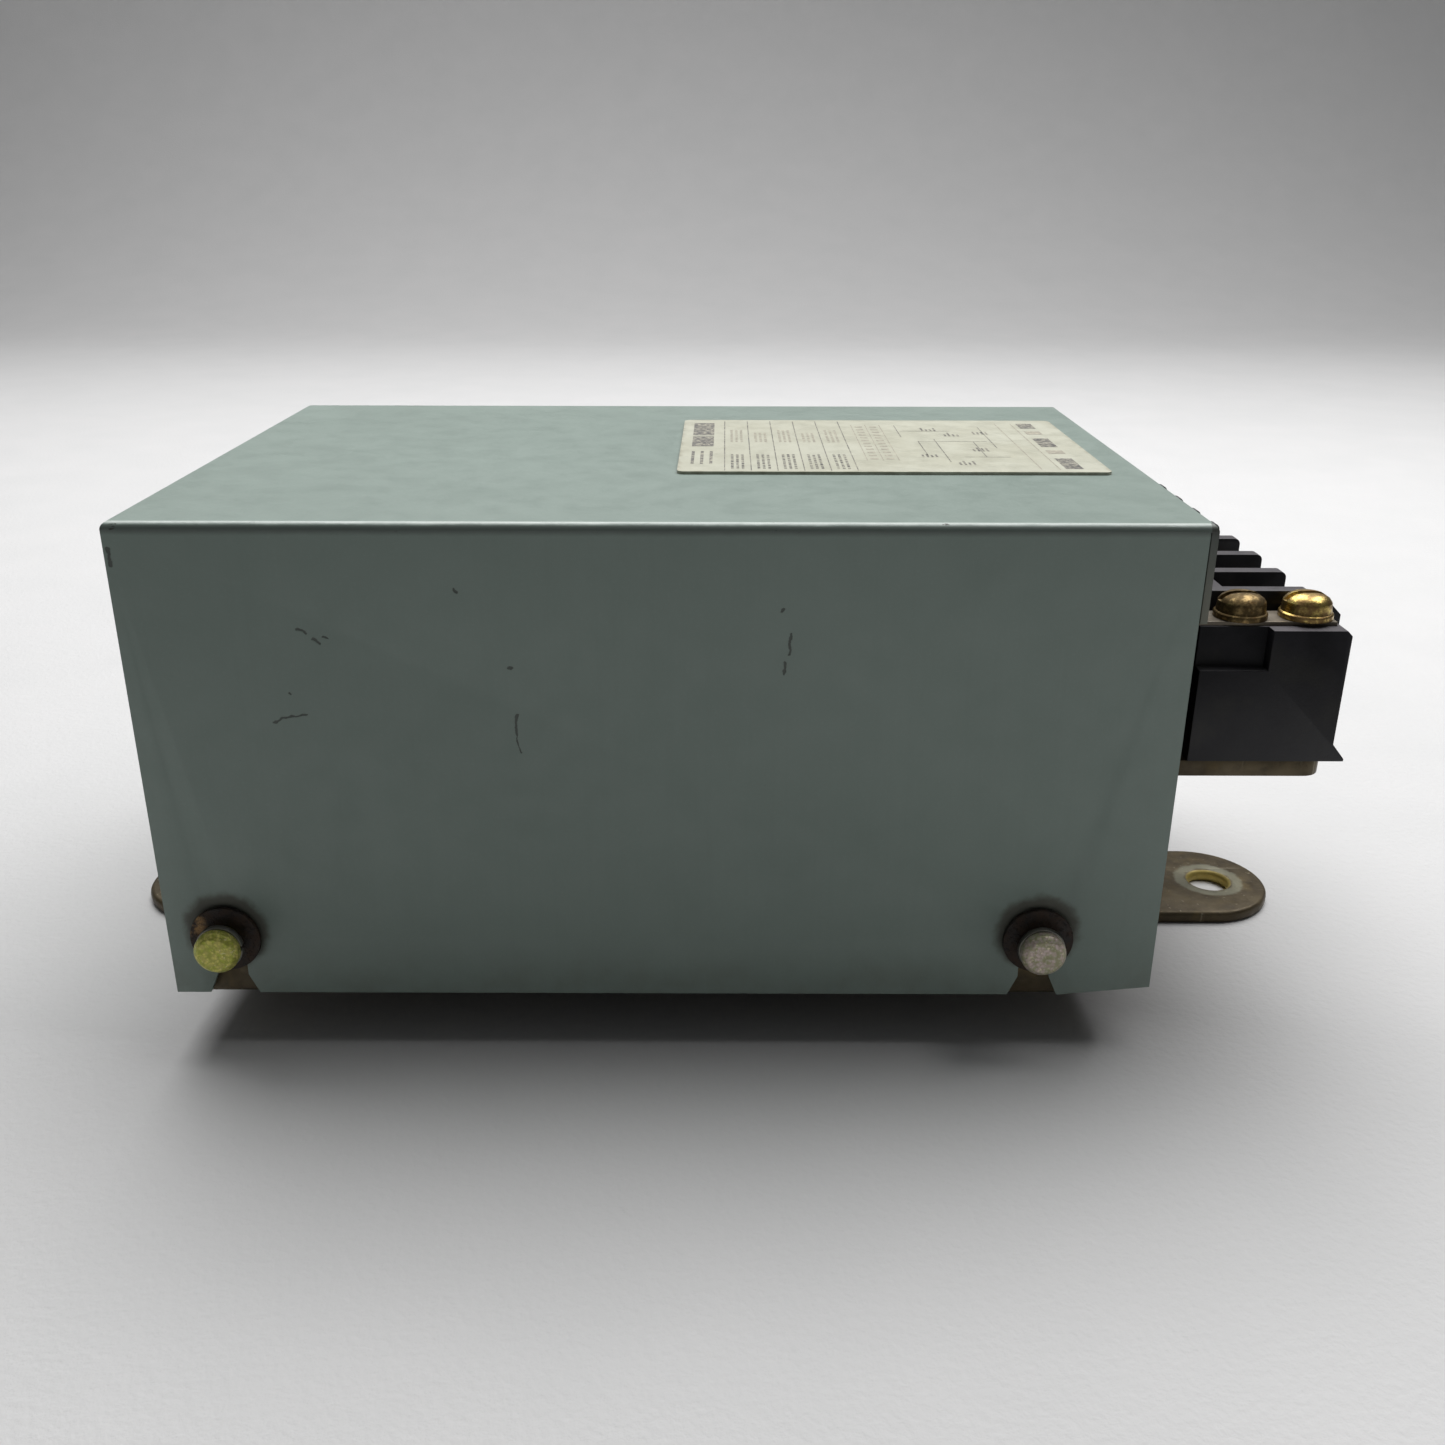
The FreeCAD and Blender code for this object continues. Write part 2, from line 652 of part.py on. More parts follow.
def add_inner_wall(body):
    """Thick wall along the inner side of the channels, slotted for the contacts."""
    wall = new_sketch(body, "XZ_Plane", "-(pole_pitch - barrier_thick / 2)")
    draw_rectangle(wall, "0", "block_height - 1", "channel_start",
                   "block_height + barrier_rise")
    pad(body, wall, "block_length - pole_pitch + barrier_thick / 2", backwards=True)
    slots = new_sketch(body, "YZ_Plane")
    floor = "block_height - channel_drop"
    half = "contact_width / 2 + contact_play"
    for pole in POLES[1:]:
        middle = "pole_first + pole_pitch * %d" % pole
        draw_rectangle(slots, "%s - (%s)" % (middle, half), floor,
                       "%s + %s" % (middle, half), floor + " + contact_gauge + contact_play")
    pocket(body, slots, "channel_start", backwards=True)


def add_barriers(body):
    """Walls between the poles, the first one with a rib down the outer side."""
    start = "-(pole_pitch - barrier_thick / 2)"
    high = "block_height + barrier_rise"
    barrier = new_sketch(body, "XZ_Plane", start)
    draw_rectangle(barrier, "0", "block_height - 1", "barrier_end", high)
    wall = pad(body, barrier, "barrier_thick", backwards=True)
    repeat(body, wall, "Y_Axis", "pole_pitch * (pole_count - 1)", "pole_count")
    fillet(body, "barrier_corner", is_barrier_corner)
    rib = new_sketch(body, "XZ_Plane", start)
    outer = "block_width + rib_reach"
    step = "block_height + rib_step"
    draw_polygon(rib, (
        ("barrier_end - 1", "foot_height"), (outer, "foot_height"),
        (outer, "block_height - 0.4"), (outer + " - 0.4 - rib_step", step),
        ("barrier_end - 1", step)))
    pad(body, rib, "barrier_thick", backwards=True)


def is_barrier_corner(point):
    """Whether a point lies on the upper outer corner of a wall between two poles."""
    return is_near(point.x, "barrier_end") and is_near(point.z, "block_height + barrier_rise")


def pole_middle(pole):
    """How far the middle of a pole is from the block's near end."""
    return "pole_first + pole_pitch * %d" % pole


def pole_drop(pole):
    """How far a pole's seat is below the top of the first pole."""
    return "0" if pole == 0 else "channel_drop"


def screw_rows(pole):
    """Rows in which a pole has a screw."""
    return ("inner", "outer") if pole == 0 else ("outer",)


def cut_wells(body):
    """A well under each screw."""
    for poles in (POLES[:1], POLES[1:]):
        drop = pole_drop(poles[0])
        wells = new_sketch(body, "XY_Plane", "block_height - " + drop)
        for pole in poles:
            for row in screw_rows(pole):
                draw_circle(wells, ("screw_" + row, pole_middle(pole)), "well_radius")
        pocket(body, wells, "well_depth")


def cut_end_recess(body):
    """Rectangular recess in the upper inner corner of the near end face."""
    recess = new_sketch(body, "XZ_Plane")
    draw_rectangle(recess, "-1", "recess_low", "recess_right", "block_height + 1")
    pocket(body, recess, "recess_depth")


def cut_fixing_holes(body):
    """Holes in the underside for the screws that hold the block to the shelf."""
    holes = new_sketch(body, "XY_Plane")
    for y in FIXING_YS:
        draw_circle(holes, ("block_width / 2", y), "fixing_bore")
    pocket(body, holes, "fixing_length + 1", backwards=True)


def pole_seat(pole):
    """Level that a pole's contact lies on."""
    return SHELF_TOP + " + block_height - " + pole_drop(pole)


def make_contacts():
    """Flat contact strips that reach from under the screws into the case."""
    contacts = []
    for pole in POLES:
        middle = "block_near + " + pole_middle(pole)
        seat = pole_seat(pole)
        contact = box((BLOCK_X + " - tail_reach", middle + " - contact_width / 2", seat),
                      ("tail_reach + contact_end", "contact_width", "contact_gauge"))
        for row in screw_rows(pole):
            bore = cylinder((BLOCK_X + " + screw_" + row, middle, seat), "contact_bore",
                            "contact_gauge")
            contact = cut(contact, bore)
        contacts.append(contact)
    return group("terminal_contacts", contacts)


def make_terminal_screws():
    """Slotted dome-headed screws with a washer flange."""
    for pole in POLES:
        for row in screw_rows(pole):
            body = new_body("TerminalScrew")
            revolve(body, (
                ("0", "-pan_length"), ("pan_shank - 0.4", "-pan_length"),
                ("pan_shank", "0.4 - pan_length"), ("pan_shank", "0"), ("pan_flange", "0"),
                ("pan_flange", "pan_rim - 0.2"), ("pan_flange - 0.2", "pan_rim"),
                ("pan_radius", "pan_rim"), ("pan_radius - 0.15", "pan_height - 1.3"),
                ("pan_radius - 0.6", "pan_height - 0.7"),
                ("pan_radius - 1.4", "pan_height - 0.2"), ("pan_radius - 2.4", "pan_height"),
                ("0", "pan_height")))
            slot = new_sketch(body, "XY_Plane", "pan_height")
            draw_rectangle(slot, "-pan_radius - 1", "-slot_width / 2", "pan_radius + 1",
                           "slot_width / 2")
            pocket(body, slot, "slot_depth")
            spot = (BLOCK_X + " + screw_" + row, "block_near + " + pole_middle(pole),
                    pole_seat(pole) + " + contact_gauge + pan_play")
            keep(body, "terminal_screw_%s_%d" % (row, pole + 1), spot)


def make_block_screws():
    """Screws up through the shelf into the block."""
    screws = []
    for y in FIXING_YS:
        spot = (BLOCK_X + " + block_width / 2", "block_near + " + y,
                SHELF_TOP + " - chassis_gauge")
        screws.append(make_screw(spot, "fixing_radius", "chassis_gauge + fixing_length",
                                 "fixing_head", "fixing_rise", HEAD_DOWN))
    return group("block_screws", screws)


def make_screw(seat, radius, length, head, rise, turn=None):
    """A plain screw whose head stands on its seat."""
    down = HEAD_DOWN if turn is None else FreeCAD.Rotation()
    shank = cylinder(seat, radius, length, down)
    crown = cylinder(seat, head, rise, turn)
    return fuse([shank, crown])


# ---------------------------------------------------------------- power stage

def make_heat_spreader():
    """Aluminium slab with low fins behind the power modules."""
    body = new_body("HeatSpreader")
    slab = new_sketch(body, "XY_Plane")
    draw_rectangle(slab, "0", "-spreader_depth / 2", "spreader_length", "spreader_depth / 2")
    pad(body, slab, "spreader_height")
    holes = new_sketch(body, "XY_Plane")
    for x, y in SPREADER_SCREW_PLACES:
        draw_circle(holes, (x + " - spreader_left", y), "machine_bore")
    for x, y in module_screw_places():
        draw_circle(holes, (x + " - spreader_left", y), "machine_bore")
    pocket_through(body, holes)
    fin = new_sketch(body, "XY_Plane", "spreader_height")
    draw_rectangle(fin, "2 * spreader_screw_inset + 2", "fin_first",
                   "spreader_length - 2 * spreader_screw_inset - 2", "fin_first + fin_gauge")
    first_fin = pad(body, fin, "fin_height")
    repeat(body, first_fin, "Y_Axis", "fin_pitch * (fin_count - 1)", "fin_count")
    return keep(body, "heat_spreader", ("spreader_left", "0", TRAY_TOP))


def module_left(number):
    """X of the left side of a power module."""
    return "module_first + module_pitch * %d" % number


def module_screw_places():
    """Where the two screws of each power module are."""
    places = []
    for number in MODULES:
        x = module_left(number) + " + module_width / 2"
        places.append((x, "module_near + module_ear_screw"))
        places.append((x, "module_near + module_depth - module_ear_screw"))
    return places


def module_stud_places():
    """Where the two terminal studs of each power module are."""
    middle = "module_near + module_depth / 2"
    return [(module_left(number) + " + module_width / 2", middle + sign + "stud_side")
            for number in MODULES for sign in (" - ", " + ")]


def make_power_modules():
    """Moulded power modules with a low ear at each end."""
    for number in MODULES:
        body = new_body("PowerModule")
        foot = new_sketch(body, "XY_Plane")
        draw_rectangle(foot, "0", "0", "module_width", "module_depth")
        for y in ("module_ear_screw", "module_depth - module_ear_screw"):
            draw_circle(foot, ("module_width / 2", y), "machine_bore")
        pad(body, foot, "module_foot")
        raised = new_sketch(body, "XY_Plane")
        draw_rectangle(raised, "0", "module_ear", "module_width", "module_depth - module_ear")
        pad(body, raised, "module_height")
        spot = (module_left(number), "module_near", SPREADER_TOP + " + pad_gauge")
        keep(body, "power_module_%d" % (number + 1), spot)


def make_module_trim():
    """Thermal pads under the modules, their screws, and their terminal studs."""
    pads = []
    for number in MODULES:
        sheet = box((module_left(number), "module_near", SPREADER_TOP),
                    ("module_width", "module_depth", "pad_gauge"))
        for y in ("module_ear_screw", "module_depth - module_ear_screw"):
            hole = cylinder((module_left(number) + " + module_width / 2", "module_near + " + y,
                             SPREADER_TOP), "machine_bore", "pad_gauge")
            sheet = cut(sheet, hole)
        pads.append(sheet)
    group("thermal_pads", pads)
    seat = SPREADER_TOP + " + pad_gauge + module_foot"
    group("module_screws", [
        make_screw((x, y, seat), "machine_radius", "module_foot + pad_gauge + spreader_height - 1",
                   "machine_head", "machine_rise") for x, y in module_screw_places()])
    top = SPREADER_TOP + " + pad_gauge + module_height"
    group("module_studs", [
        cylinder((x, y, top), "stud_radius", "stud_height") for x, y in module_stud_places()])
    group("spreader_screws", [
        make_screw((x, y, SPREADER_TOP), "machine_radius", "spreader_height + chassis_gauge",
                   "machine_head", "machine_rise") for x, y in SPREADER_SCREW_PLACES])


# ---------------------------------------------------------------- control board

def make_board_stack():
    """Standoffs, insulating sheet, circuit board and the screws that hold them."""
    standoffs = []
    for x, y in STANDOFF_PLACES:
        post = cylinder((x, y, TRAY_TOP), "standoff_radius", "standoff_height")
        bore = cylinder((x, y, SHEET_LOW + " - board_screw_length"), "standoff_bore",
                        "board_screw_length")
        stem = cylinder((x, y, "tray_base"), "fixing_radius", "chassis_gauge")
        standoffs.append(fuse([cut(post, bore), stem]))
    group("board_standoffs", standoffs)
    for label, low, gauge in (("insulating_sheet", SHEET_LOW, "sheet_gauge"),
                              ("circuit_board", BOARD_LOW, "board_gauge")):
        body = new_body("Board")
        outline = new_sketch(body, "XY_Plane")
        draw_rectangle(outline, "0", "-board_depth / 2", "board_length", "board_depth / 2")
        for x, y in STANDOFF_PLACES:
            draw_circle(outline, (x + " - board_left", y), "standoff_bore")
        pad(body, outline, gauge)
        keep(body, label, ("board_left", "0", low))
    group("board_screws", [
        make_screw((x, y, BOARD_TOP), "fixing_radius",
                   "board_gauge + sheet_gauge + board_screw_length - 1", "fixing_head",
                   "fixing_rise") for x, y in STANDOFF_PLACES])


def board_row(label, first, step, count, lengths):
    """A row of identical box-shaped parts standing on the circuit board."""
    return group(label, [
        box(("%s + %s * %d" % (first[0], step[0], index),
             "%s + %s * %d" % (first[1], step[1], index), BOARD_TOP), lengths)
        for index in range(count)])


def make_board_parts():
    """Optocouplers, resistors, capacitors, varistors and the control connector."""
    board_row("optocouplers", ("-52", "-33"), ("20", "0"), 4, ("8.9", "6.4", "3.8"))
    board_row("snubber_resistors", ("-56", "-14"), ("32", "0"), 3, ("22", "8", "8"))
    board_row("snubber_capacitors", ("-58", "22"), ("32", "0"), 3, ("26", "11", "19"))
    upright = FreeCAD.Rotation(FreeCAD.Vector(1, 0, 0), -90)
    group("varistors", [
        cylinder(("-45 + 32 * %d" % index, "5", BOARD_TOP + " + 7.5"), "7", "4.6", upright)
        for index in range(3)])
    board_row("control_connector", ("28", "-41"), ("0", "0"), 1, ("12", "22", "9"))


# ---------------------------------------------------------------- wiring

def wire_tube(points, name):
    """A round wire along straight runs joined by tangent arcs."""
    bend = value("wire_bend")
    edges = []
    start = points[0]
    for index in range(1, len(points) - 1):
        corner = points[index]
        incoming = (corner - points[index - 1]).normalize()
        outgoing = (points[index + 1] - corner).normalize()
        half_turn = incoming.getAngle(outgoing) / 2
        reach = bend * math.tan(half_turn)
        entry = corner - incoming * reach
        leave = corner + outgoing * reach
        inward = (outgoing - incoming).normalize()
        middle = corner + inward * (bend / math.cos(half_turn) - bend)
        edges.append(Part.LineSegment(start, entry).toShape())
        edges.append(Part.Arc(entry, middle, leave).toShape())
        start = leave
    edges.append(Part.LineSegment(start, points[-1]).toShape())
    path = doc.addObject("Part::Feature", name + "Path")
    path.Shape = Part.Wire(edges)
    section = doc.addObject("Part::Circle", name + "Section")
    section.setExpression("Radius", bound("wire_radius"))
    facing = FreeCAD.Rotation(FreeCAD.Vector(0, 0, 1), points[1] - points[0])
    section.Placement = FreeCAD.Placement(points[0], facing)
    tube = doc.addObject("Part::Sweep", name)
    tube.Sections = [section]
    tube.Spine = (path, ["Edge%d" % number for number in range(1, len(edges) + 1)])
    tube.Solid = True
    tube.Frenet = False
    return tube


def point_at(x, y, z):
    """A point from three expressions."""
    return FreeCAD.Vector(value(x), value(y), value(z))


def make_wiring():
    """Load wires from the modules and control wires from the board, up to the contacts."""
    lug_x = BLOCK_X + " - tail_reach + lug_hold"
    stud_top = SPREADER_TOP + " + pad_gauge + module_height + stud_height"
    load_wires = []
    for index, (x, y) in enumerate(module_stud_places()):
        level = "%s + 12.6 - 3.5 * %d" % (stud_top, index // 2)
        lug_y = "block_near + " + pole_middle(index + 2)
        route = [point_at(x, y, stud_top), point_at(x, y, level),
                 point_at(lug_x, lug_y, level), point_at(lug_x, lug_y, pole_seat(index + 2))]
        load_wires.append(wire_tube(route, "LoadWire"))
    group("load_wires", load_wires)
    control_wires = []
    connector_top = BOARD_TOP + " + 9"
    for index in range(2):
        level = "%s + 21 - 2.6 * %d" % (BOARD_TOP, index)
        lug_y = "block_near + " + pole_middle(index)
        start_y = "-36.5 + 11 * %d" % index
        route = [point_at("34", start_y, connector_top), point_at("34", start_y, level),
                 point_at(lug_x, lug_y, level),
                 point_at(lug_x, lug_y, pole_seat(index) + " + contact_gauge")]
        control_wires.append(wire_tube(route, "ControlWire"))
    group("control_wires", control_wires)


# ---------------------------------------------------------------- build and export

def check_document():
    """Stop if any object failed, or if a sub-part has no sound shape."""
    for item in doc.Objects:
        if "Invalid" in item.State or "Error" in item.State:
            raise RuntimeError("%s (%s) failed: %s" % (item.Name, item.Label, item.State))
    for piece in pieces:
        if piece.Shape.isNull() or not piece.Shape.isValid() or not piece.Shape.Solids:
            raise RuntimeError("%s has no sound shape" % piece.Label)


def export_pieces():
    """Write one STEP file for each sub-part."""
    os.makedirs("parts", exist_ok=True)
    for piece in pieces:
        piece.Shape.exportStep("parts/%s.step" % piece.Label)
        print("%-28s solids %2d  volume %10.1f mm3" % (
            piece.Label, len(piece.Shape.Solids), piece.Shape.Volume))


def main():
    """Build every sub-part, check the document and export it."""
    fill_sheet()
    make_cover()
    make_nameplate()
    make_chassis()
    make_strap()
    make_rivets()
    make_cover_screws()
    make_cover_washers_and_nuts()
    make_terminal_block()
    make_contacts()
    make_terminal_screws()
    make_block_screws()
    make_heat_spreader()
    make_power_modules()
    make_module_trim()
    make_board_stack()
    make_board_parts()
    make_wiring()
    doc.recompute()
    check_document()
    export_pieces()


main()
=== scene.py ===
"""Solid state relay: finishes, rounded edges, floor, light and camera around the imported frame.

Metres throughout. +X runs along the mounting strap towards the terminal block, +Y to the
back and +Z up, with the origin midway between the two mounting holes.
"""
import bmesh
import bpy
import json
import math
import random
from mathutils import Matrix, Vector


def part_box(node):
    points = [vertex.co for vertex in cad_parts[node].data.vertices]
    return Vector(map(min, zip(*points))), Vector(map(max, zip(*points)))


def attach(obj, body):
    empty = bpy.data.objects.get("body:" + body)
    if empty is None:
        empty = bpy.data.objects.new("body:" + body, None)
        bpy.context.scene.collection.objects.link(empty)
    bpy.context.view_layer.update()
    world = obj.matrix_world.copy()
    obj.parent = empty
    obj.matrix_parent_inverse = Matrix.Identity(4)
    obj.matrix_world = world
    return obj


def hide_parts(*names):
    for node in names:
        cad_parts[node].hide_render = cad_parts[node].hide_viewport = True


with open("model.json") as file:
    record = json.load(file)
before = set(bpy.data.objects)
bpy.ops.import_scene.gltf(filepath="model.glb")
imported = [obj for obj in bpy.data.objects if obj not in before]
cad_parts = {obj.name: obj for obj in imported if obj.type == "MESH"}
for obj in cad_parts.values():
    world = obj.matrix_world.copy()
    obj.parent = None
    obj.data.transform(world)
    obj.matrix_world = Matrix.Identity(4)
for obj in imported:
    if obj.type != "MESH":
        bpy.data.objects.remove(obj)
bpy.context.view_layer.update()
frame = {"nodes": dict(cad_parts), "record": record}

MM = 0.001
NODES = frame["nodes"]
BODY_OF = {node: body for body, nodes in frame["record"]["behaviour"]["bodies"].items()
           for node in nodes}
SLOT_OF = {row["node"]: row["material_slot"] for row in frame["record"]["subparts"]}
COVER_LOW, COVER_HIGH = (Vector(corner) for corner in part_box("cover"))
PLATE_LOW, PLATE_HIGH = (Vector(corner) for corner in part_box("nameplate"))
STRAP_LOW = Vector(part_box("mounting_strap")[0])


def middle(node):
    """Centre of a CAD node's box."""
    low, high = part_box(node)
    return (Vector(low) + Vector(high)) / 2


def linear(red, green, blue):
    """Scene colour from display values between 0 and 255."""
    def one(level):
        level /= 255
        return level / 12.92 if level <= 0.04045 else ((level + 0.055) / 1.055) ** 2.4
    return (one(red), one(green), one(blue), 1.0)


# ---------------------------------------------------------------- node-based finishes

class Finish:
    """One procedural material. Positions are the row frame's, in metres."""

    def __init__(self, slot, **constants):
        self.material = bpy.data.materials.new(slot)
        self.material.use_nodes = True
        self.tree = self.material.node_tree
        self.shader = self.tree.nodes["Principled BSDF"]
        self.place = self.add("ShaderNodeTexCoord").outputs["Object"]
        for name, setting in constants.items():
            self.shader.inputs[name.replace("_", " ")].default_value = setting

    def add(self, kind, sockets=None, **settings):
        """A node with its settings, and with values or links for its sockets."""
        node = self.tree.nodes.new(kind)
        for name, setting in settings.items():
            setattr(node, name, setting)
        for key, source in (sockets or {}).items():
            if isinstance(source, bpy.types.NodeSocket):
                self.tree.links.new(source, node.inputs[key])
            else:
                node.inputs[key].default_value = source
        return node

    def calc(self, operation, first, second=0.0, clamp=False):
        """One sum on two numbers."""
        node = self.add("ShaderNodeMath", {0: first, 1: second}, operation=operation,
                        use_clamp=clamp)
        return node.outputs[0]

    def vector(self, operation, first, second=(0, 0, 0)):
        """One sum on two vectors."""
        return self.add("ShaderNodeVectorMath", {0: first, 1: second}, operation=operation)

    def ramp(self, source, low, high, start=0.0, end=1.0):
        """A smooth step of a number between two levels."""
        node = self.add("ShaderNodeMapRange", {0: source, 1: low, 2: high, 3: start, 4: end},
                        interpolation_type="SMOOTHSTEP")
        return node.outputs[0]

    def mapped(self, stretch, seed):
        """Position, stretched and shifted."""
        sockets = {"Vector": self.place, "Scale": stretch,
                   "Location": (seed * 0.37, seed * 0.73, seed * 0.19)}
        return self.add("ShaderNodeMapping", sockets).outputs[0]

    def noise(self, size, detail=4.0, roughness=0.55, stretch=(1, 1, 1), seed=0):
        """Soft noise with features of about this size, in metres."""
        sockets = {"Vector": self.mapped(stretch, seed), "Scale": 1 / size, "Detail": detail,
                   "Roughness": roughness}
        return self.add("ShaderNodeTexNoise", sockets).outputs[0]

    def cells(self, size, seed=0):
        """Distance within scattered cells of about this size."""
        sockets = {"Vector": self.mapped((1, 1, 1), seed), "Scale": 1 / size}
        return self.add("ShaderNodeTexVoronoi", sockets).outputs["Distance"]

    def mix(self, factor, first, second):
        """A blend of two colours."""
        node = self.add("ShaderNodeMix", {0: factor, 6: first, 7: second}, data_type="RGBA")
        return node.outputs[2]

    def axis(self, index):
        """One coordinate of the position."""
        return self.add("ShaderNodeSeparateXYZ", {0: self.place}).outputs[index]

    def facing(self, index):
        """One component of the surface's direction."""
        normal = self.add("ShaderNodeNewGeometry").outputs["Normal"]
        return self.add("ShaderNodeSeparateXYZ", {0: normal}).outputs[index]

    def distance(self, point, plane=(1, 1, 1)):
        """Distance from a point, measured only along the chosen axes."""
        offset = self.vector("SUBTRACT", self.place, tuple(point)).outputs[0]
        flat = self.vector("MULTIPLY", offset, plane).outputs[0]
        return self.vector("LENGTH", flat).outputs["Value"]

    def warped(self, size, amount):
        """Position, shifted about by soft noise."""
        sockets = {"Vector": self.place, "Scale": 1 / size, "Detail": 3.0}
        shift = self.add("ShaderNodeTexNoise", sockets).outputs["Color"]
        centred = self.vector("SUBTRACT", shift, (0.5, 0.5, 0.5)).outputs[0]
        moved = self.vector("MULTIPLY", centred, (amount, amount, amount)).outputs[0]
        return self.vector("ADD", self.place, moved).outputs[0]

    def stroke(self, place, start, end, width):
        """Mask of a ragged line between two points, seen from the front."""
        start, end = Vector(start), Vector(end)
        run = end - start
        offset = self.vector("SUBTRACT", place, tuple(start)).outputs[0]
        flat = self.vector("MULTIPLY", offset, (1, 0, 1)).outputs[0]
        dot = self.vector("DOT_PRODUCT", flat, tuple(run / run.length_squared)).outputs["Value"]
        along = self.calc("ADD", dot, 0.0, clamp=True)
        nearest = self.add("ShaderNodeVectorMath", {0: tuple(run), 3: along},
                           operation="SCALE").outputs[0]
        away = self.vector("LENGTH", self.vector("SUBTRACT", flat, nearest).outputs[0])
        ragged = self.calc("MULTIPLY", self.noise(1.1 * MM, 3, seed=7), 1.6 * width)
        gap = self.calc("SUBTRACT", away.outputs["Value"], ragged)
        return self.ramp(gap, -0.3 * width, 0.15 * width, 1.0, 0.0)

    def most(self, masks):
        """The strongest of several masks."""
        total = masks[0]
        for mask in masks[1:]:
            total = self.calc("MAXIMUM", total, mask)
        return total

    def finish(self, colour, roughness, height=None, depth=0.00003):
        """Connect colour and roughness, and a height of the given depth in metres."""
        self.tree.links.new(colour, self.shader.inputs["Base Color"])
        self.tree.links.new(roughness, self.shader.inputs["Roughness"])
        if height is not None:
            bump = self.add("ShaderNodeBump", {"Height": height, "Distance": depth,
                                               "Strength": 1.0})
            self.tree.links.new(bump.outputs[0], self.shader.inputs["Normal"])
        return self.material


def scratches(paint, size, seed=0):
    """Fine straight scratches in two directions."""
    first = paint.noise(size, 2, stretch=(1, 1, 0.04), seed=seed)
    second = paint.noise(size * 1.4, 2, stretch=(0.05, 1, 1), seed=seed + 3)
    return paint.most([paint.ramp(first, 0.66, 0.74), paint.ramp(second, 0.68, 0.76)])


def general_finish(slot, colour, roughness, metallic=0.0, grain=0.6 * MM, spread=0.22,
                   dust=0.2, depth=0.00002, scratch=0.3, **constants):
    """A worn surface: cloudy colour, fine grain, scratches and dust on what faces up."""
    paint = Finish(slot, Metallic=metallic, **constants)
    cloud = paint.noise(9 * MM, 5, seed=1)
    fine = paint.noise(grain, 4, 0.6, seed=2)
    dark = tuple(channel * (1 - spread) for channel in colour[:3]) + (1.0,)
    light = tuple(min(1.0, channel * (1 + spread)) for channel in colour[:3]) + (1.0,)
    shade = paint.mix(paint.ramp(cloud, 0.3, 0.7), dark, light)
    shade = paint.mix(paint.calc("MULTIPLY", paint.ramp(fine, 0.45, 0.75), 0.35), shade, dark)
    marks = scratches(paint, 0.9 * MM, 4)
    shade = paint.mix(paint.calc("MULTIPLY", marks, scratch), shade, light)
    up = paint.ramp(paint.facing(2), 0.6, 0.95)
    dusty = paint.calc("MULTIPLY", up, paint.ramp(paint.noise(3 * MM, 5, seed=5), 0.35, 0.75))
    shade = paint.mix(paint.calc("MULTIPLY", dusty, dust), shade, linear(150, 146, 138))
    level = paint.ramp(paint.noise(2.5 * MM, 4, seed=6), 0.3, 0.7, roughness - 0.1,
                       roughness + 0.12)
    level = paint.calc("ADD", level, paint.calc("MULTIPLY", dusty, 0.25), clamp=True)
    height = paint.calc("SUBTRACT", fine, paint.calc("MULTIPLY", marks, 0.5))
    return paint.finish(shade, level, height, depth)


COVER_SCREWS = [middle(node) for node in sorted(NODES) if node.startswith("cover_screw_")]
# Chips and scuffs on the front of the cover: ends in X and Z, and width, in millimetres.
FRONT_MARKS = (
    ((-56.5, 68.2), (-55.2, 67.6), 0.26), ((-54.2, 66.8), (-53.5, 66.2), 0.30),
    ((-52.9, 66.9), (-52.5, 66.8), 0.24), ((-61.4, 54.2), (-58.4, 55.3), 0.20),
    ((-58.3, 55.3), (-56.3, 55.3), 0.17), ((-26.6, 55.4), (-26.8, 52.2), 0.24),
    ((-26.8, 52.2), (-26.2, 49.6), 0.16), ((-34.2, 73.9), (-33.7, 73.6), 0.26),
    ((-27.3, 62.6), (-27.1, 62.4), 0.34), ((11.0, 71.2), (10.9, 70.8), 0.26),
    ((12.1, 67.6), (12.0, 64.6), 0.22), ((11.4, 63.4), (11.3, 61.6), 0.26),
    ((-80.9, 79.6), (-80.7, 77.0), 0.34), ((-58.5, 58.6), (-58.3, 58.4), 0.26),
)


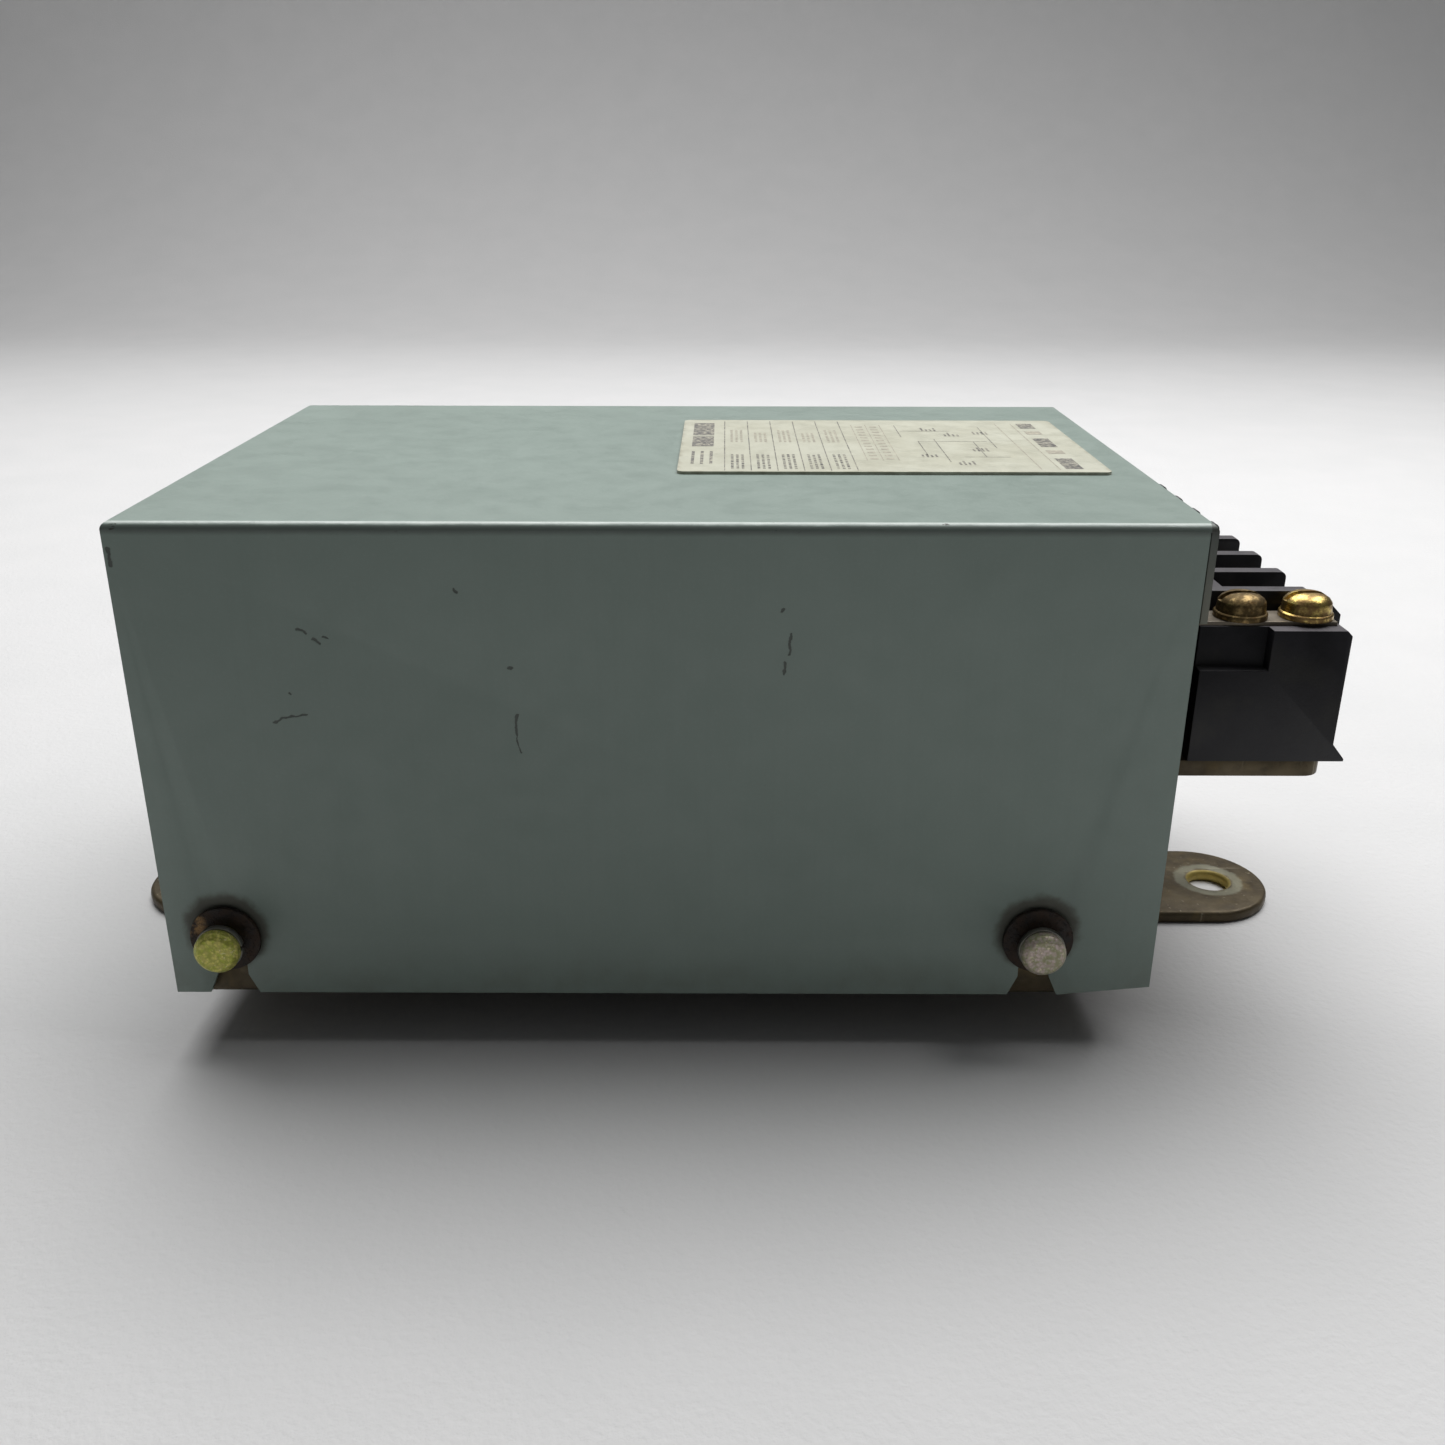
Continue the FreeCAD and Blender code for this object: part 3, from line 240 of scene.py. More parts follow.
def cover_paint():
    """Grey-green enamel: orange peel, faint upright streaks, chips, and bends with a pale line of
    wear and painted highlight over a band of painted shade.
    """
    paint = Finish("cover_paint", Coat_Weight=0.12, Coat_Roughness=0.3)
    x, y, z = (paint.axis(index) for index in range(3))
    cloud = paint.noise(34 * MM, 4, seed=2)
    shade = paint.mix(paint.ramp(cloud, 0.25, 0.75), linear(120, 135, 127),
                      linear(126, 141, 133))
    streaks = paint.noise(1.3 * MM, 3, 0.6, stretch=(1, 1, 0.03), seed=3)
    shade = paint.mix(paint.calc("MULTIPLY", paint.ramp(streaks, 0.45, 0.8), 0.05), shade,
                      linear(96, 108, 102))
    grain = paint.noise(0.5 * MM, 3, 0.6, seed=4)
    shade = paint.mix(paint.calc("MULTIPLY", paint.ramp(grain, 0.5, 0.8), 0.1), shade,
                      linear(154, 168, 160))
    # grime low down, and a darker brown ring round each screw
    low = paint.ramp(z, COVER_LOW.z, COVER_LOW.z + 10 * MM, 1.0, 0.0)
    grime = paint.calc("MULTIPLY", low, paint.ramp(paint.noise(6 * MM, 5, seed=5), 0.3, 0.8))
    shade = paint.mix(paint.calc("MULTIPLY", grime, 0.35), shade, linear(96, 96, 84))
    halo_noise = paint.calc("MULTIPLY", paint.noise(2.5 * MM, 4, seed=6), 2.2 * MM)
    halos = []
    for spot in COVER_SCREWS:
        away = paint.distance((spot.x, 0, spot.z + 1 * MM), (1, 0, 1))
        ragged = paint.calc("SUBTRACT", away, halo_noise)
        halos.append(paint.ramp(ragged, 4.4 * MM, 6.0 * MM, 1.0, 0.0))
    halo = paint.most(halos)
    shade = paint.mix(paint.calc("MULTIPLY", halo, 0.7), shade, linear(70, 58, 46))
    # chips and scuffs
    front = paint.ramp(y, COVER_LOW.y + 2 * MM, COVER_LOW.y + 3 * MM, 1.0, 0.0)
    place = paint.warped(1.3 * MM, 1.1 * MM)
    marks = [paint.stroke(place, (a[0] * MM, 0, a[1] * MM), (b[0] * MM, 0, b[1] * MM),
                          width * MM)
             for a, b, width in FRONT_MARKS]
    specks = paint.ramp(paint.noise(0.9 * MM, 4, 0.7, seed=8), 0.735, 0.775)
    marks = paint.calc("MULTIPLY", paint.most(marks), front)
    marks = paint.calc("MAXIMUM", marks, paint.calc("MULTIPLY", specks, 0.4))
    shade = paint.mix(paint.calc("MULTIPLY", marks, 0.85), shade, linear(58, 62, 56))
    # bends: a thin pale line along the front and back, partly worn paint and partly painted
    # highlight, over a darker band of painted shade
    side = paint.calc("ABSOLUTE", paint.calc("SUBTRACT", y, (COVER_LOW.y + COVER_HIGH.y) / 2))
    half = (COVER_HIGH.y - COVER_LOW.y) / 2
    ragged = paint.calc("MULTIPLY", paint.noise(2.2 * MM, 5, 0.7, stretch=(0.3, 1, 1), seed=9),
                        0.5 * MM)
    drop = paint.calc("ADD", paint.calc("SUBTRACT", COVER_HIGH.z, z), ragged)
    near_side = paint.ramp(side, half - 1.1 * MM, half - 0.7 * MM)
    # pale line along each bend: partly worn paint, partly painted highlight
    pale = paint.calc("MULTIPLY", near_side, paint.ramp(drop, 0.3 * MM, 0.6 * MM, 1.0, 0.0))
    shade = paint.mix(paint.calc("MULTIPLY", pale, 0.75), shade, linear(206, 214, 208))
    # painted shade on the bend just below the pale line
    shadow = paint.calc("MULTIPLY", paint.ramp(drop, 0.5 * MM, 0.75 * MM),
                        paint.ramp(drop, 1.3 * MM, 2.2 * MM, 1.0, 0.0))
    shade = paint.mix(paint.calc("MULTIPLY", paint.calc("MULTIPLY", shadow, near_side), 0.7),
                      shade, linear(72, 80, 75))
    chipped = paint.calc("MULTIPLY", near_side, paint.calc(
        "MULTIPLY", paint.ramp(drop, 1.2 * MM, 1.6 * MM, 1.0, 0.0), paint.ramp(
            paint.noise(2.6 * MM, 4, 0.7, stretch=(0.5, 1, 1), seed=10), 0.66, 0.7)))
    shade = paint.mix(chipped, shade, linear(56, 58, 50))
    # bare edge of the end wall's sheet, bronze and darker towards the top
    bare = paint.calc("MULTIPLY", paint.ramp(x, COVER_HIGH.x - 1.12 * MM, COVER_HIGH.x - 1.0 * MM),
                      paint.ramp(side, half - 1.2 * MM, half - 0.9 * MM))
    bronze = paint.mix(paint.ramp(z, COVER_HIGH.z - 14 * MM, COVER_HIGH.z - 1 * MM),
                       linear(88, 80, 60), linear(48, 44, 38))
    shade = paint.mix(paint.calc("MULTIPLY", bare, 0.7), shade, bronze)
    level = paint.ramp(paint.noise(5 * MM, 4, seed=11), 0.3, 0.7, 0.4, 0.55)
    level = paint.calc("ADD", level, paint.calc("MULTIPLY", halo, 0.3), clamp=True)
    peel = paint.noise(1.5 * MM, 2, 0.4, seed=12)
    height = paint.calc("SUBTRACT", paint.calc("MULTIPLY", peel, 0.6),
                        paint.calc("MULTIPLY", marks, 1.0))
    return paint.finish(shade, level, height, 0.00006)


def nameplate():
    """Cream printed plate, yellowed and rubbed towards its edges."""
    paint = Finish("nameplate", Coat_Weight=0.2, Coat_Roughness=0.35)
    cloud = paint.noise(14 * MM, 5, seed=1)
    shade = paint.mix(paint.ramp(cloud, 0.3, 0.7), linear(179, 178, 159),
                      linear(189, 189, 172))
    stains = paint.ramp(paint.noise(3.5 * MM, 5, 0.65, seed=2), 0.6, 0.8)
    shade = paint.mix(paint.calc("MULTIPLY", stains, 0.25), shade, linear(176, 166, 132))
    rub = scratches(paint, 1.2 * MM, 5)
    shade = paint.mix(paint.calc("MULTIPLY", rub, 0.18), shade, linear(150, 146, 130))
    x, y = paint.axis(0), paint.axis(1)
    inset = [paint.ramp(paint.calc("ABSOLUTE", paint.calc("SUBTRACT", value, centre)),
                        half - 0.9 * MM, half)
             for value, centre, half in (
                 (x, (PLATE_LOW.x + PLATE_HIGH.x) / 2, (PLATE_HIGH.x - PLATE_LOW.x) / 2),
                 (y, (PLATE_LOW.y + PLATE_HIGH.y) / 2, (PLATE_HIGH.y - PLATE_LOW.y) / 2))]
    rim = paint.calc("MULTIPLY", paint.most(inset), paint.ramp(
        paint.noise(2 * MM, 4, seed=3), 0.35, 0.7))
    shade = paint.mix(paint.calc("MULTIPLY", rim, 0.45), shade, linear(120, 110, 84))
    level = paint.ramp(paint.noise(4 * MM, 4, seed=4), 0.3, 0.7, 0.35, 0.55)
    return paint.finish(shade, level, paint.noise(0.9 * MM, 3, seed=6), 0.00003)


def ink(slot, colour):
    """Worn print on the nameplate."""
    paint = Finish(slot)
    faded = paint.ramp(paint.noise(0.8 * MM, 5, 0.7, seed=3), 0.42, 0.68)
    shade = paint.mix(paint.calc("MULTIPLY", faded, 0.7), colour, linear(205, 200, 178))
    level = paint.ramp(paint.noise(2 * MM, 3, seed=5), 0.3, 0.7, 0.4, 0.6)
    return paint.finish(shade, level, paint.noise(0.5 * MM, 3, seed=6), 0.00001)


HOLE_OFFSET = 95 * MM
MOUNT_HOLES = [Vector((side * HOLE_OFFSET, 0, STRAP_LOW.z)) for side in (-1, 1)]
EAR_TOP = 3 * MM


def chromated_steel():
    """Dull olive-brown chromate with a pale washer print round each mounting hole, and bright gold
    bore walls that are partly a painted highlight.
    """
    paint = Finish("chromated_steel", Metallic=0.55)
    cloud = paint.noise(8 * MM, 5, 0.6, seed=1)
    shade = paint.mix(paint.ramp(cloud, 0.3, 0.7), linear(66, 56, 38), linear(91, 80, 58))
    blot = paint.ramp(paint.noise(2.4 * MM, 5, 0.65, seed=2), 0.5, 0.72)
    shade = paint.mix(paint.calc("MULTIPLY", blot, 0.5), shade, linear(54, 45, 33))
    gold = paint.ramp(paint.noise(5 * MM, 3, seed=3), 0.55, 0.75)
    shade = paint.mix(paint.calc("MULTIPLY", gold, 0.3), shade, linear(122, 104, 62))
    rings = []
    bore_highlights = []
    for hole in MOUNT_HOLES:
        away = paint.distance(hole, (1, 1, 0))
        ragged = paint.calc("ADD", away, paint.calc(
            "MULTIPLY", paint.noise(1.4 * MM, 4, seed=4), 1.6 * MM))
        inside = paint.ramp(ragged, 4.7 * MM, 5.5 * MM)
        outside = paint.ramp(ragged, 6.6 * MM, 7.4 * MM, 1.0, 0.0)
        rings.append(paint.calc("MULTIPLY", inside, outside))
        bore_highlights.append(paint.ramp(away, 3.75 * MM, 4.3 * MM, 1.0, 0.0))
    on_strap = paint.ramp(paint.axis(2), EAR_TOP, EAR_TOP + MM, 1.0, 0.0)
    ring = paint.calc("MULTIPLY", paint.most(rings), paint.ramp(paint.facing(2), 0.3, 0.8))
    ring = paint.calc("MULTIPLY", ring, on_strap)
    # painted highlight: chromate gold in each bore, painted much brighter than the strap
    bore_highlight = paint.calc("MULTIPLY", paint.most(bore_highlights), on_strap)
    shade = paint.mix(paint.calc("MULTIPLY", ring, 0.6), shade, linear(140, 140, 122))
    shade = paint.mix(paint.calc("MULTIPLY", bore_highlight, 0.7), shade, linear(206, 186, 104))
    marks = scratches(paint, 0.8 * MM, 6)
    shade = paint.mix(paint.calc("MULTIPLY", marks, 0.3), shade, linear(188, 180, 156))
    level = paint.ramp(paint.noise(3 * MM, 4, seed=8), 0.3, 0.7, 0.36, 0.62)
    height = paint.calc("SUBTRACT", paint.noise(0.6 * MM, 4, seed=9),
                        paint.calc("MULTIPLY", marks, 0.4))
    return paint.finish(shade, level, height, 0.00003)


def cover_screw():
    """Bright chromate, mottled from yellow-green to pink-grey, with painted glints of highlight.
    """
    paint = Finish("cover_screw", Metallic=0.5)
    fleck = paint.cells(0.45 * MM, seed=1)
    patch = paint.noise(0.8 * MM, 4, 0.65, seed=2)
    right = paint.ramp(paint.axis(0), -20 * MM, 20 * MM)
    green = paint.mix(paint.ramp(patch, 0.4, 0.62), linear(170, 176, 70), linear(216, 208, 116))
    pink = paint.mix(paint.ramp(patch, 0.42, 0.6), linear(204, 186, 182), linear(176, 176, 146))
    shade = paint.mix(right, green, pink)
    shade = paint.mix(paint.calc("MULTIPLY", paint.ramp(fleck, 0.35, 0.6), 0.35), shade,
                      linear(132, 126, 74))
    # painted highlight: small bright glints on the heads
    painted_glint = paint.ramp(paint.noise(0.5 * MM, 3, seed=3), 0.6, 0.72)
    shade = paint.mix(paint.calc("MULTIPLY", painted_glint, 0.6), shade, linear(238, 232, 190))
    level = paint.ramp(patch, 0.3, 0.7, 0.3, 0.6)
    return paint.finish(shade, level, paint.calc("ADD", fleck, patch), 0.00006)


def dark_washer():
    """Rust-stained steel, with a golden patch at the upper left of each washer at the plain end.
    """
    paint = Finish("dark_washer", Metallic=0.35)
    rust = paint.noise(1.8 * MM, 5, 0.65, seed=1)
    shade = paint.mix(paint.ramp(rust, 0.35, 0.65), linear(30, 24, 21), linear(58, 43, 32))
    pits = paint.ramp(paint.noise(0.5 * MM, 4, seed=2), 0.5, 0.7)
    shade = paint.mix(paint.calc("MULTIPLY", pits, 0.6), shade, linear(20, 17, 16))
    golds = []
    for spot in COVER_SCREWS:
        if spot.x < 0:
            patch = (spot.x - 4.4 * MM, 0, spot.z + 2.6 * MM)
            golds.append(paint.ramp(paint.distance(patch, (1, 0, 1)), 0.8 * MM, 2.6 * MM,
                                    1.0, 0.0))
    gold = paint.calc("MULTIPLY", paint.most(golds), paint.ramp(
        paint.noise(1.3 * MM, 4, seed=3), 0.38, 0.6))
    shade = paint.mix(paint.calc("MULTIPLY", gold, 0.7), shade, linear(176, 136, 82))
    level = paint.ramp(rust, 0.3, 0.7, 0.45, 0.75)
    return paint.finish(shade, level, pits, 0.00006)


RECESS_LEDGE = 60 * MM
BARRIER_FOOT = 67 * MM


def phenolic():
    """Moulded black phenolic: mottled, and dusty where it faces up, but left dark on the recess
    ledge as painted shade.
    """
    paint = Finish("phenolic", Specular_IOR_Level=0.35)
    cloud = paint.noise(5 * MM, 5, 0.6, seed=1)
    shade = paint.mix(paint.ramp(cloud, 0.35, 0.65), linear(14, 13, 18), linear(23, 22, 27))
    olive = paint.ramp(paint.noise(7 * MM, 4, seed=2), 0.5, 0.68)
    shade = paint.mix(paint.calc("MULTIPLY", olive, 0.5), shade, linear(36, 35, 31))
    up = paint.ramp(paint.facing(2), 0.5, 0.9)
    dust = paint.calc("MULTIPLY", up, paint.ramp(paint.noise(2 * MM, 5, seed=3), 0.1, 0.6,
                                                 0.5, 1.0))
    z = paint.axis(2)
    # painted shade: no dust on the recess ledge, so it stays dark
    shaded_ledge = paint.calc(
        "MULTIPLY", paint.ramp(z, RECESS_LEDGE - 1.0 * MM, RECESS_LEDGE - 0.8 * MM),
        paint.ramp(z, RECESS_LEDGE + 0.8 * MM, RECESS_LEDGE + 1.0 * MM, 1.0, 0.0))
    tops = paint.ramp(z, BARRIER_FOOT, BARRIER_FOOT + MM, 1.0, 0.55)
    dust = paint.calc("MULTIPLY", dust, paint.calc("SUBTRACT", tops, shaded_ledge, clamp=True))
    shade = paint.mix(paint.calc("MULTIPLY", dust, 0.6), shade, linear(116, 111, 115))
    flow = paint.noise(1.6 * MM, 3, stretch=(1, 1, 0.2), seed=4)
    level = paint.ramp(cloud, 0.3, 0.7, 0.36, 0.5)
    level = paint.calc("ADD", level, paint.calc("MULTIPLY", dust, 0.35), clamp=True)
    height = paint.calc("ADD", paint.calc("MULTIPLY", flow, 0.6),
                        paint.calc("MULTIPLY", paint.noise(0.4 * MM, 3, seed=5), 0.4))
    return paint.finish(shade, level, height, 0.00005)


def brass(slot, bright, dull, tarnish, roughness):
    """Brass with tarnish that gathers in patches."""
    paint = Finish(slot, Metallic=1.0)
    patch = paint.noise(1.3 * MM, 5, 0.65, seed=2)
    shade = paint.mix(paint.ramp(patch, 0.4 + tarnish, 0.6 + tarnish), dull, bright)
    brown = paint.ramp(paint.noise(0.7 * MM, 4, seed=3), 0.52, 0.7)
    shade = paint.mix(paint.calc("MULTIPLY", brown, 0.45), shade, linear(96, 68, 40))
    level = paint.ramp(patch, 0.35, 0.65, roughness + 0.22, roughness)
    turned = paint.noise(0.35 * MM, 3, 0.6, seed=5)
    return paint.finish(shade, level, turned, 0.00003)


def board_finish():
    """Solder mask with copper tracks and tinned pads under it."""
    paint = Finish("board", Coat_Weight=0.3, Coat_Roughness=0.2)
    cloud = paint.noise(12 * MM, 4, seed=1)
    shade = paint.mix(paint.ramp(cloud, 0.3, 0.7), linear(22, 88, 48), linear(30, 104, 58))
    sockets = {"Vector": paint.mapped((1, 1, 1), 0), "Scale": 260.0, "Row Height": 0.5,
               "Brick Width": 3.4, "Mortar Size": 0.06, "Color1": (0, 0, 0, 1),
               "Color2": (0, 0, 0, 1), "Mortar": (1, 1, 1, 1)}
    tracks = paint.add("ShaderNodeTexBrick", sockets, offset=0.37).outputs["Color"]
    shade = paint.mix(paint.calc("MULTIPLY", tracks, 0.75), shade, linear(58, 140, 78))
    pads = paint.ramp(paint.cells(4.5 * MM, seed=4), 0.13, 0.16, 1.0, 0.0)
    shade = paint.mix(paint.calc("MULTIPLY", pads, 0.85), shade, linear(190, 190, 180))
    dust = paint.ramp(paint.noise(4 * MM, 5, seed=6), 0.45, 0.8)
    shade = paint.mix(paint.calc("MULTIPLY", dust, 0.2), shade, linear(140, 140, 124))
    level = paint.ramp(dust, 0.0, 1.0, 0.28, 0.5)
    return paint.finish(shade, level, paint.calc("ADD", tracks, pads), 0.00004)


def make_finishes():
    """Every material slot's finish."""
    made = {
        "cover_paint": cover_paint(), "nameplate": nameplate(),
        "chromated_steel": chromated_steel(), "cover_screw": cover_screw(),
        "dark_washer": dark_washer(), "phenolic": phenolic(), "board": board_finish(),
        "brass_bright": brass("brass_bright", linear(204, 180, 106), linear(132, 108, 70),
                              0.04, 0.26),
        "brass_aged": brass("brass_aged", linear(148, 126, 86), linear(88, 74, 50),
                            0.06, 0.38),
        "ink_dark": ink("ink_dark", linear(84, 82, 80)),
        "ink_faint": ink("ink_faint", linear(150, 144, 130)),
    }
    plain = (
        ("spring_steel", linear(120, 118, 112), 0.4, dict(metallic=0.9)),
        ("contact", linear(110, 102, 90), 0.55, dict(metallic=0.6)),
        ("aluminium", linear(198, 200, 202), 0.36, dict(metallic=0.95, dust=0.1)),
        ("module_case", linear(44, 44, 47), 0.42, dict(dust=0.35)),
        ("thermal_pad", linear(150, 154, 158), 0.8, dict(depth=0.00008)),
        ("steel_hardware", linear(186, 184, 176), 0.34, dict(metallic=0.95)),
        ("fish_paper", linear(148, 152, 140), 0.85, dict(depth=0.00008, scratch=0.1)),
        ("opto", linear(222, 222, 214), 0.45, dict(spread=0.06)),
        ("ceramic", linear(216, 212, 200), 0.85, dict(depth=0.0001, spread=0.08)),
        ("capacitor", linear(206, 168, 62), 0.35, dict(Coat_Weight=0.4, spread=0.1)),
        ("varistor", linear(44, 84, 150), 0.32, dict(Coat_Weight=0.5, depth=0.0001)),
        ("connector", linear(48, 122, 82), 0.45, dict()),
        ("wire_red", linear(158, 42, 34), 0.5, dict(spread=0.12)),
        ("wire_white", linear(206, 204, 194), 0.5, dict(spread=0.06)),
    )
    for slot, colour, roughness, options in plain:
        made[slot] = general_finish(slot, colour, roughness, **options)
    return made


finishes = make_finishes()


# ---------------------------------------------------------------- finer pieces

def add_piece(shape, name, slot, body, replaced=()):
    """Turn a bmesh into a smooth-shaded piece that rides on a body."""
    mesh = bpy.data.meshes.new(name)
    shape.to_mesh(mesh)
    shape.free()
    mesh.polygons.foreach_set("use_smooth", [True] * len(mesh.polygons))
    mesh.set_sharp_from_angle(angle=math.radians(32))
    mesh.materials.append(finishes[slot])
    piece = bpy.data.objects.new(name, mesh)
    bpy.context.scene.collection.objects.link(piece)
    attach(piece, body)
    if replaced:
        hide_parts(*replaced)
    return piece


def refine(node, edge, segments=2, clamp=True):
    """Replace a CAD node with a copy whose sharp edges are rounded."""
    shape = bmesh.new()
    shape.from_mesh(NODES[node].data)
    bmesh.ops.remove_doubles(shape, verts=shape.verts, dist=2e-6)
    bmesh.ops.dissolve_limit(shape, angle_limit=math.radians(0.5), verts=shape.verts,
                             edges=shape.edges)
    sharp = [side for side in shape.edges
             if side.is_manifold and side.calc_face_angle(0.0) > math.radians(30)]
    bmesh.ops.bevel(shape, geom=sharp, offset=edge, segments=segments, profile=0.5,
                    affect="EDGES", clamp_overlap=clamp)
    return add_piece(shape, "fine_" + node, SLOT_OF[node], BODY_OF[node], (node,))


# Width of each node's rounded edges, in millimetres.
EDGES = {
    "cover": 0.12, "chassis": 0.25, "mounting_strap": 0.8, "terminal_block": 0.25,
    "heat_spreader": 0.25, "cover_washers": 0.15, "strap_rivets": 0.45, "module_screws": 0.5,
    "spreader_screws": 0.5, "board_screws": 0.5, "block_screws": 0.5, "module_studs": 0.3,
    "board_standoffs": 0.2, "snubber_capacitors": 0.9, "snubber_resistors": 0.6,
    "varistors": 1.4, "control_connector": 0.4, "optocouplers": 0.35, "clinch_nuts": 0.25,
    "terminal_contacts": 0.1, "circuit_board": 0.1, "insulating_sheet": 0.1,
    "thermal_pads": 0.1, "power_module_1": 0.5, "power_module_2": 0.5, "power_module_3": 0.5,
}


SCREW_EDGE = 0.2
SPRING_EDGE = 0.1


def refine_nodes():
    """Rounded copies of the CAD nodes, and the wires with their own finish."""
    for node in sorted(NODES):
        if node in ("nameplate", "load_wires", "control_wires"):
            continue
        if node.startswith(("cover_screw_", "terminal_screw_")):
            width = SCREW_EDGE
        elif node.startswith("spring_washer_"):
            width = SPRING_EDGE
        else:
            width = EDGES[node]
        if node == "mounting_strap":
            refine(node, width * MM, 4, clamp=False)
        else:
            refine(node, width * MM)
    for node in ("load_wires", "control_wires"):
        mesh = NODES[node].data
        mesh.materials.clear()
        mesh.materials.append(finishes[SLOT_OF[node]])


PLATE_SINK = 0.03 * MM


def make_nameplate():
    """Thin plate, lowered slightly so that its print stays inside the CAD box."""
    shape = bmesh.new()
    shape.from_mesh(NODES["nameplate"].data)
    bmesh.ops.remove_doubles(shape, verts=shape.verts, dist=2e-6)
    bmesh.ops.dissolve_limit(shape, angle_limit=math.radians(0.5), verts=shape.verts,
                             edges=shape.edges)
    for vertex in shape.verts:
        if vertex.co.z > PLATE_HIGH.z - 0.01 * MM:
            vertex.co.z -= PLATE_SINK
    add_piece(shape, "fine_nameplate", "nameplate", "cover", ("nameplate",))


def add_mark(shape, left, near, right, far):
    """A printed bar, by its distances from the plate's left and near edges in millimetres."""
    z = PLATE_HIGH.z - PLATE_SINK / 3
    corners = ((left, near), (right, near), (right, far), (left, far))
    loop = [shape.verts.new((PLATE_LOW.x + x * MM, PLATE_LOW.y + y * MM, z))
            for x, y in corners]
    shape.faces.new(loop)


def print_rows(dark, faint, rng):
    """Rows of short dashes in the ruled columns."""
    for column in range(5):
        left = 8.3 + 4.2 * column
        for target, start, end in ((dark, 2.2, 14.0), (faint, 25.0, 37.0 - 3 * (column % 2))):
            for row in range(3):
                x = left + 0.2 + 0.85 * row
                y = start
                while y < end:
                    step = rng.uniform(0.5, 1.5)
                    add_mark(target, x, y, x + 0.42, min(y + step, end))
                    y += step + rng.uniform(0.25, 0.7)


HAIRLINE = 0.16
PLATE_LINES = (
    (38.5, 30, HAIRLINE, 12), (41, 13, HAIRLINE, 13), (44, 8, HAIRLINE, 20),
    (46.5, 26, 6.5, HAIRLINE), (47, 12, 7.5, HAIRLINE), (50.5, 12, HAIRLINE, 14),
    (53.6, 20, HAIRLINE, 20), (39, 36, 9, HAIRLINE), (41, 26, 5.5, HAIRLINE),
)
PLATE_TUFTS = ((40, 12.0), (45.2, 5.5), (46.4, 31), (49.3, 17), (51.8, 33), (43, 36))
PLATE_STAMPS = ((2.5, 11.0), (15.0, 18.0), (21.0, 29.0), (33.0, 36.0), (39.0, 44.0))


def print_nameplate():
    """Generic print: ruled columns, bars and a line drawing that says nothing."""
    rng = random.Random(4)
    dark, faint = bmesh.new(), bmesh.new()
    for near, far in ((21.0, 30.5), (31.5, 44.0)):
        add_mark(dark, 1.9, near, 5.6, far)
    for line in range(3):
        add_mark(dark, 2.0 + 1.5 * line, 6.0, 2.5 + 1.5 * line, 16.5)
    for column in range(6):
        x = 7.4 + 4.2 * column
        add_mark(dark, x, 0.8, x + HAIRLINE, 46.0)
    print_rows(dark, faint, rng)
    for x in (30.6, 33.2, 35.8):
        add_mark(faint, x, 9.0, x + HAIRLINE, 42.5)
    for row in range(12):
        y = 10.0 + 2.7 * row
        add_mark(faint, 31.3, y, 32.6, y + 1.1)
        add_mark(faint, 33.9, y, 35.2, y + 1.1)
    for left, near, long, tall in PLATE_LINES:
        add_mark(dark, left, near, left + long, near + tall)
    for left, near in PLATE_TUFTS:
        for bar in range(4):
            x = left + 0.75 * bar
            add_mark(dark, x, near, x + 0.35, near + rng.uniform(1.6, 3.4))
    for x in (57.4, 60.3):
        add_mark(faint, x, 2.0, x + HAIRLINE, 44.0)
    for near, far in PLATE_STAMPS:
        add_mark(faint if far - near < 4 else dark, 61.4, near, 64.2, far)
    add_piece(dark, "nameplate_print_dark", "ink_dark", "cover")
    add_piece(faint, "nameplate_print_faint", "ink_faint", "cover")


refine_nodes()
make_nameplate()
print_nameplate()


# ---------------------------------------------------------------- floor, light and camera

FLOOR_END = 0.9
FLOOR_CURVE = 0.5
FLOOR_SIDE = 2.4
FLOOR_STEPS = 12


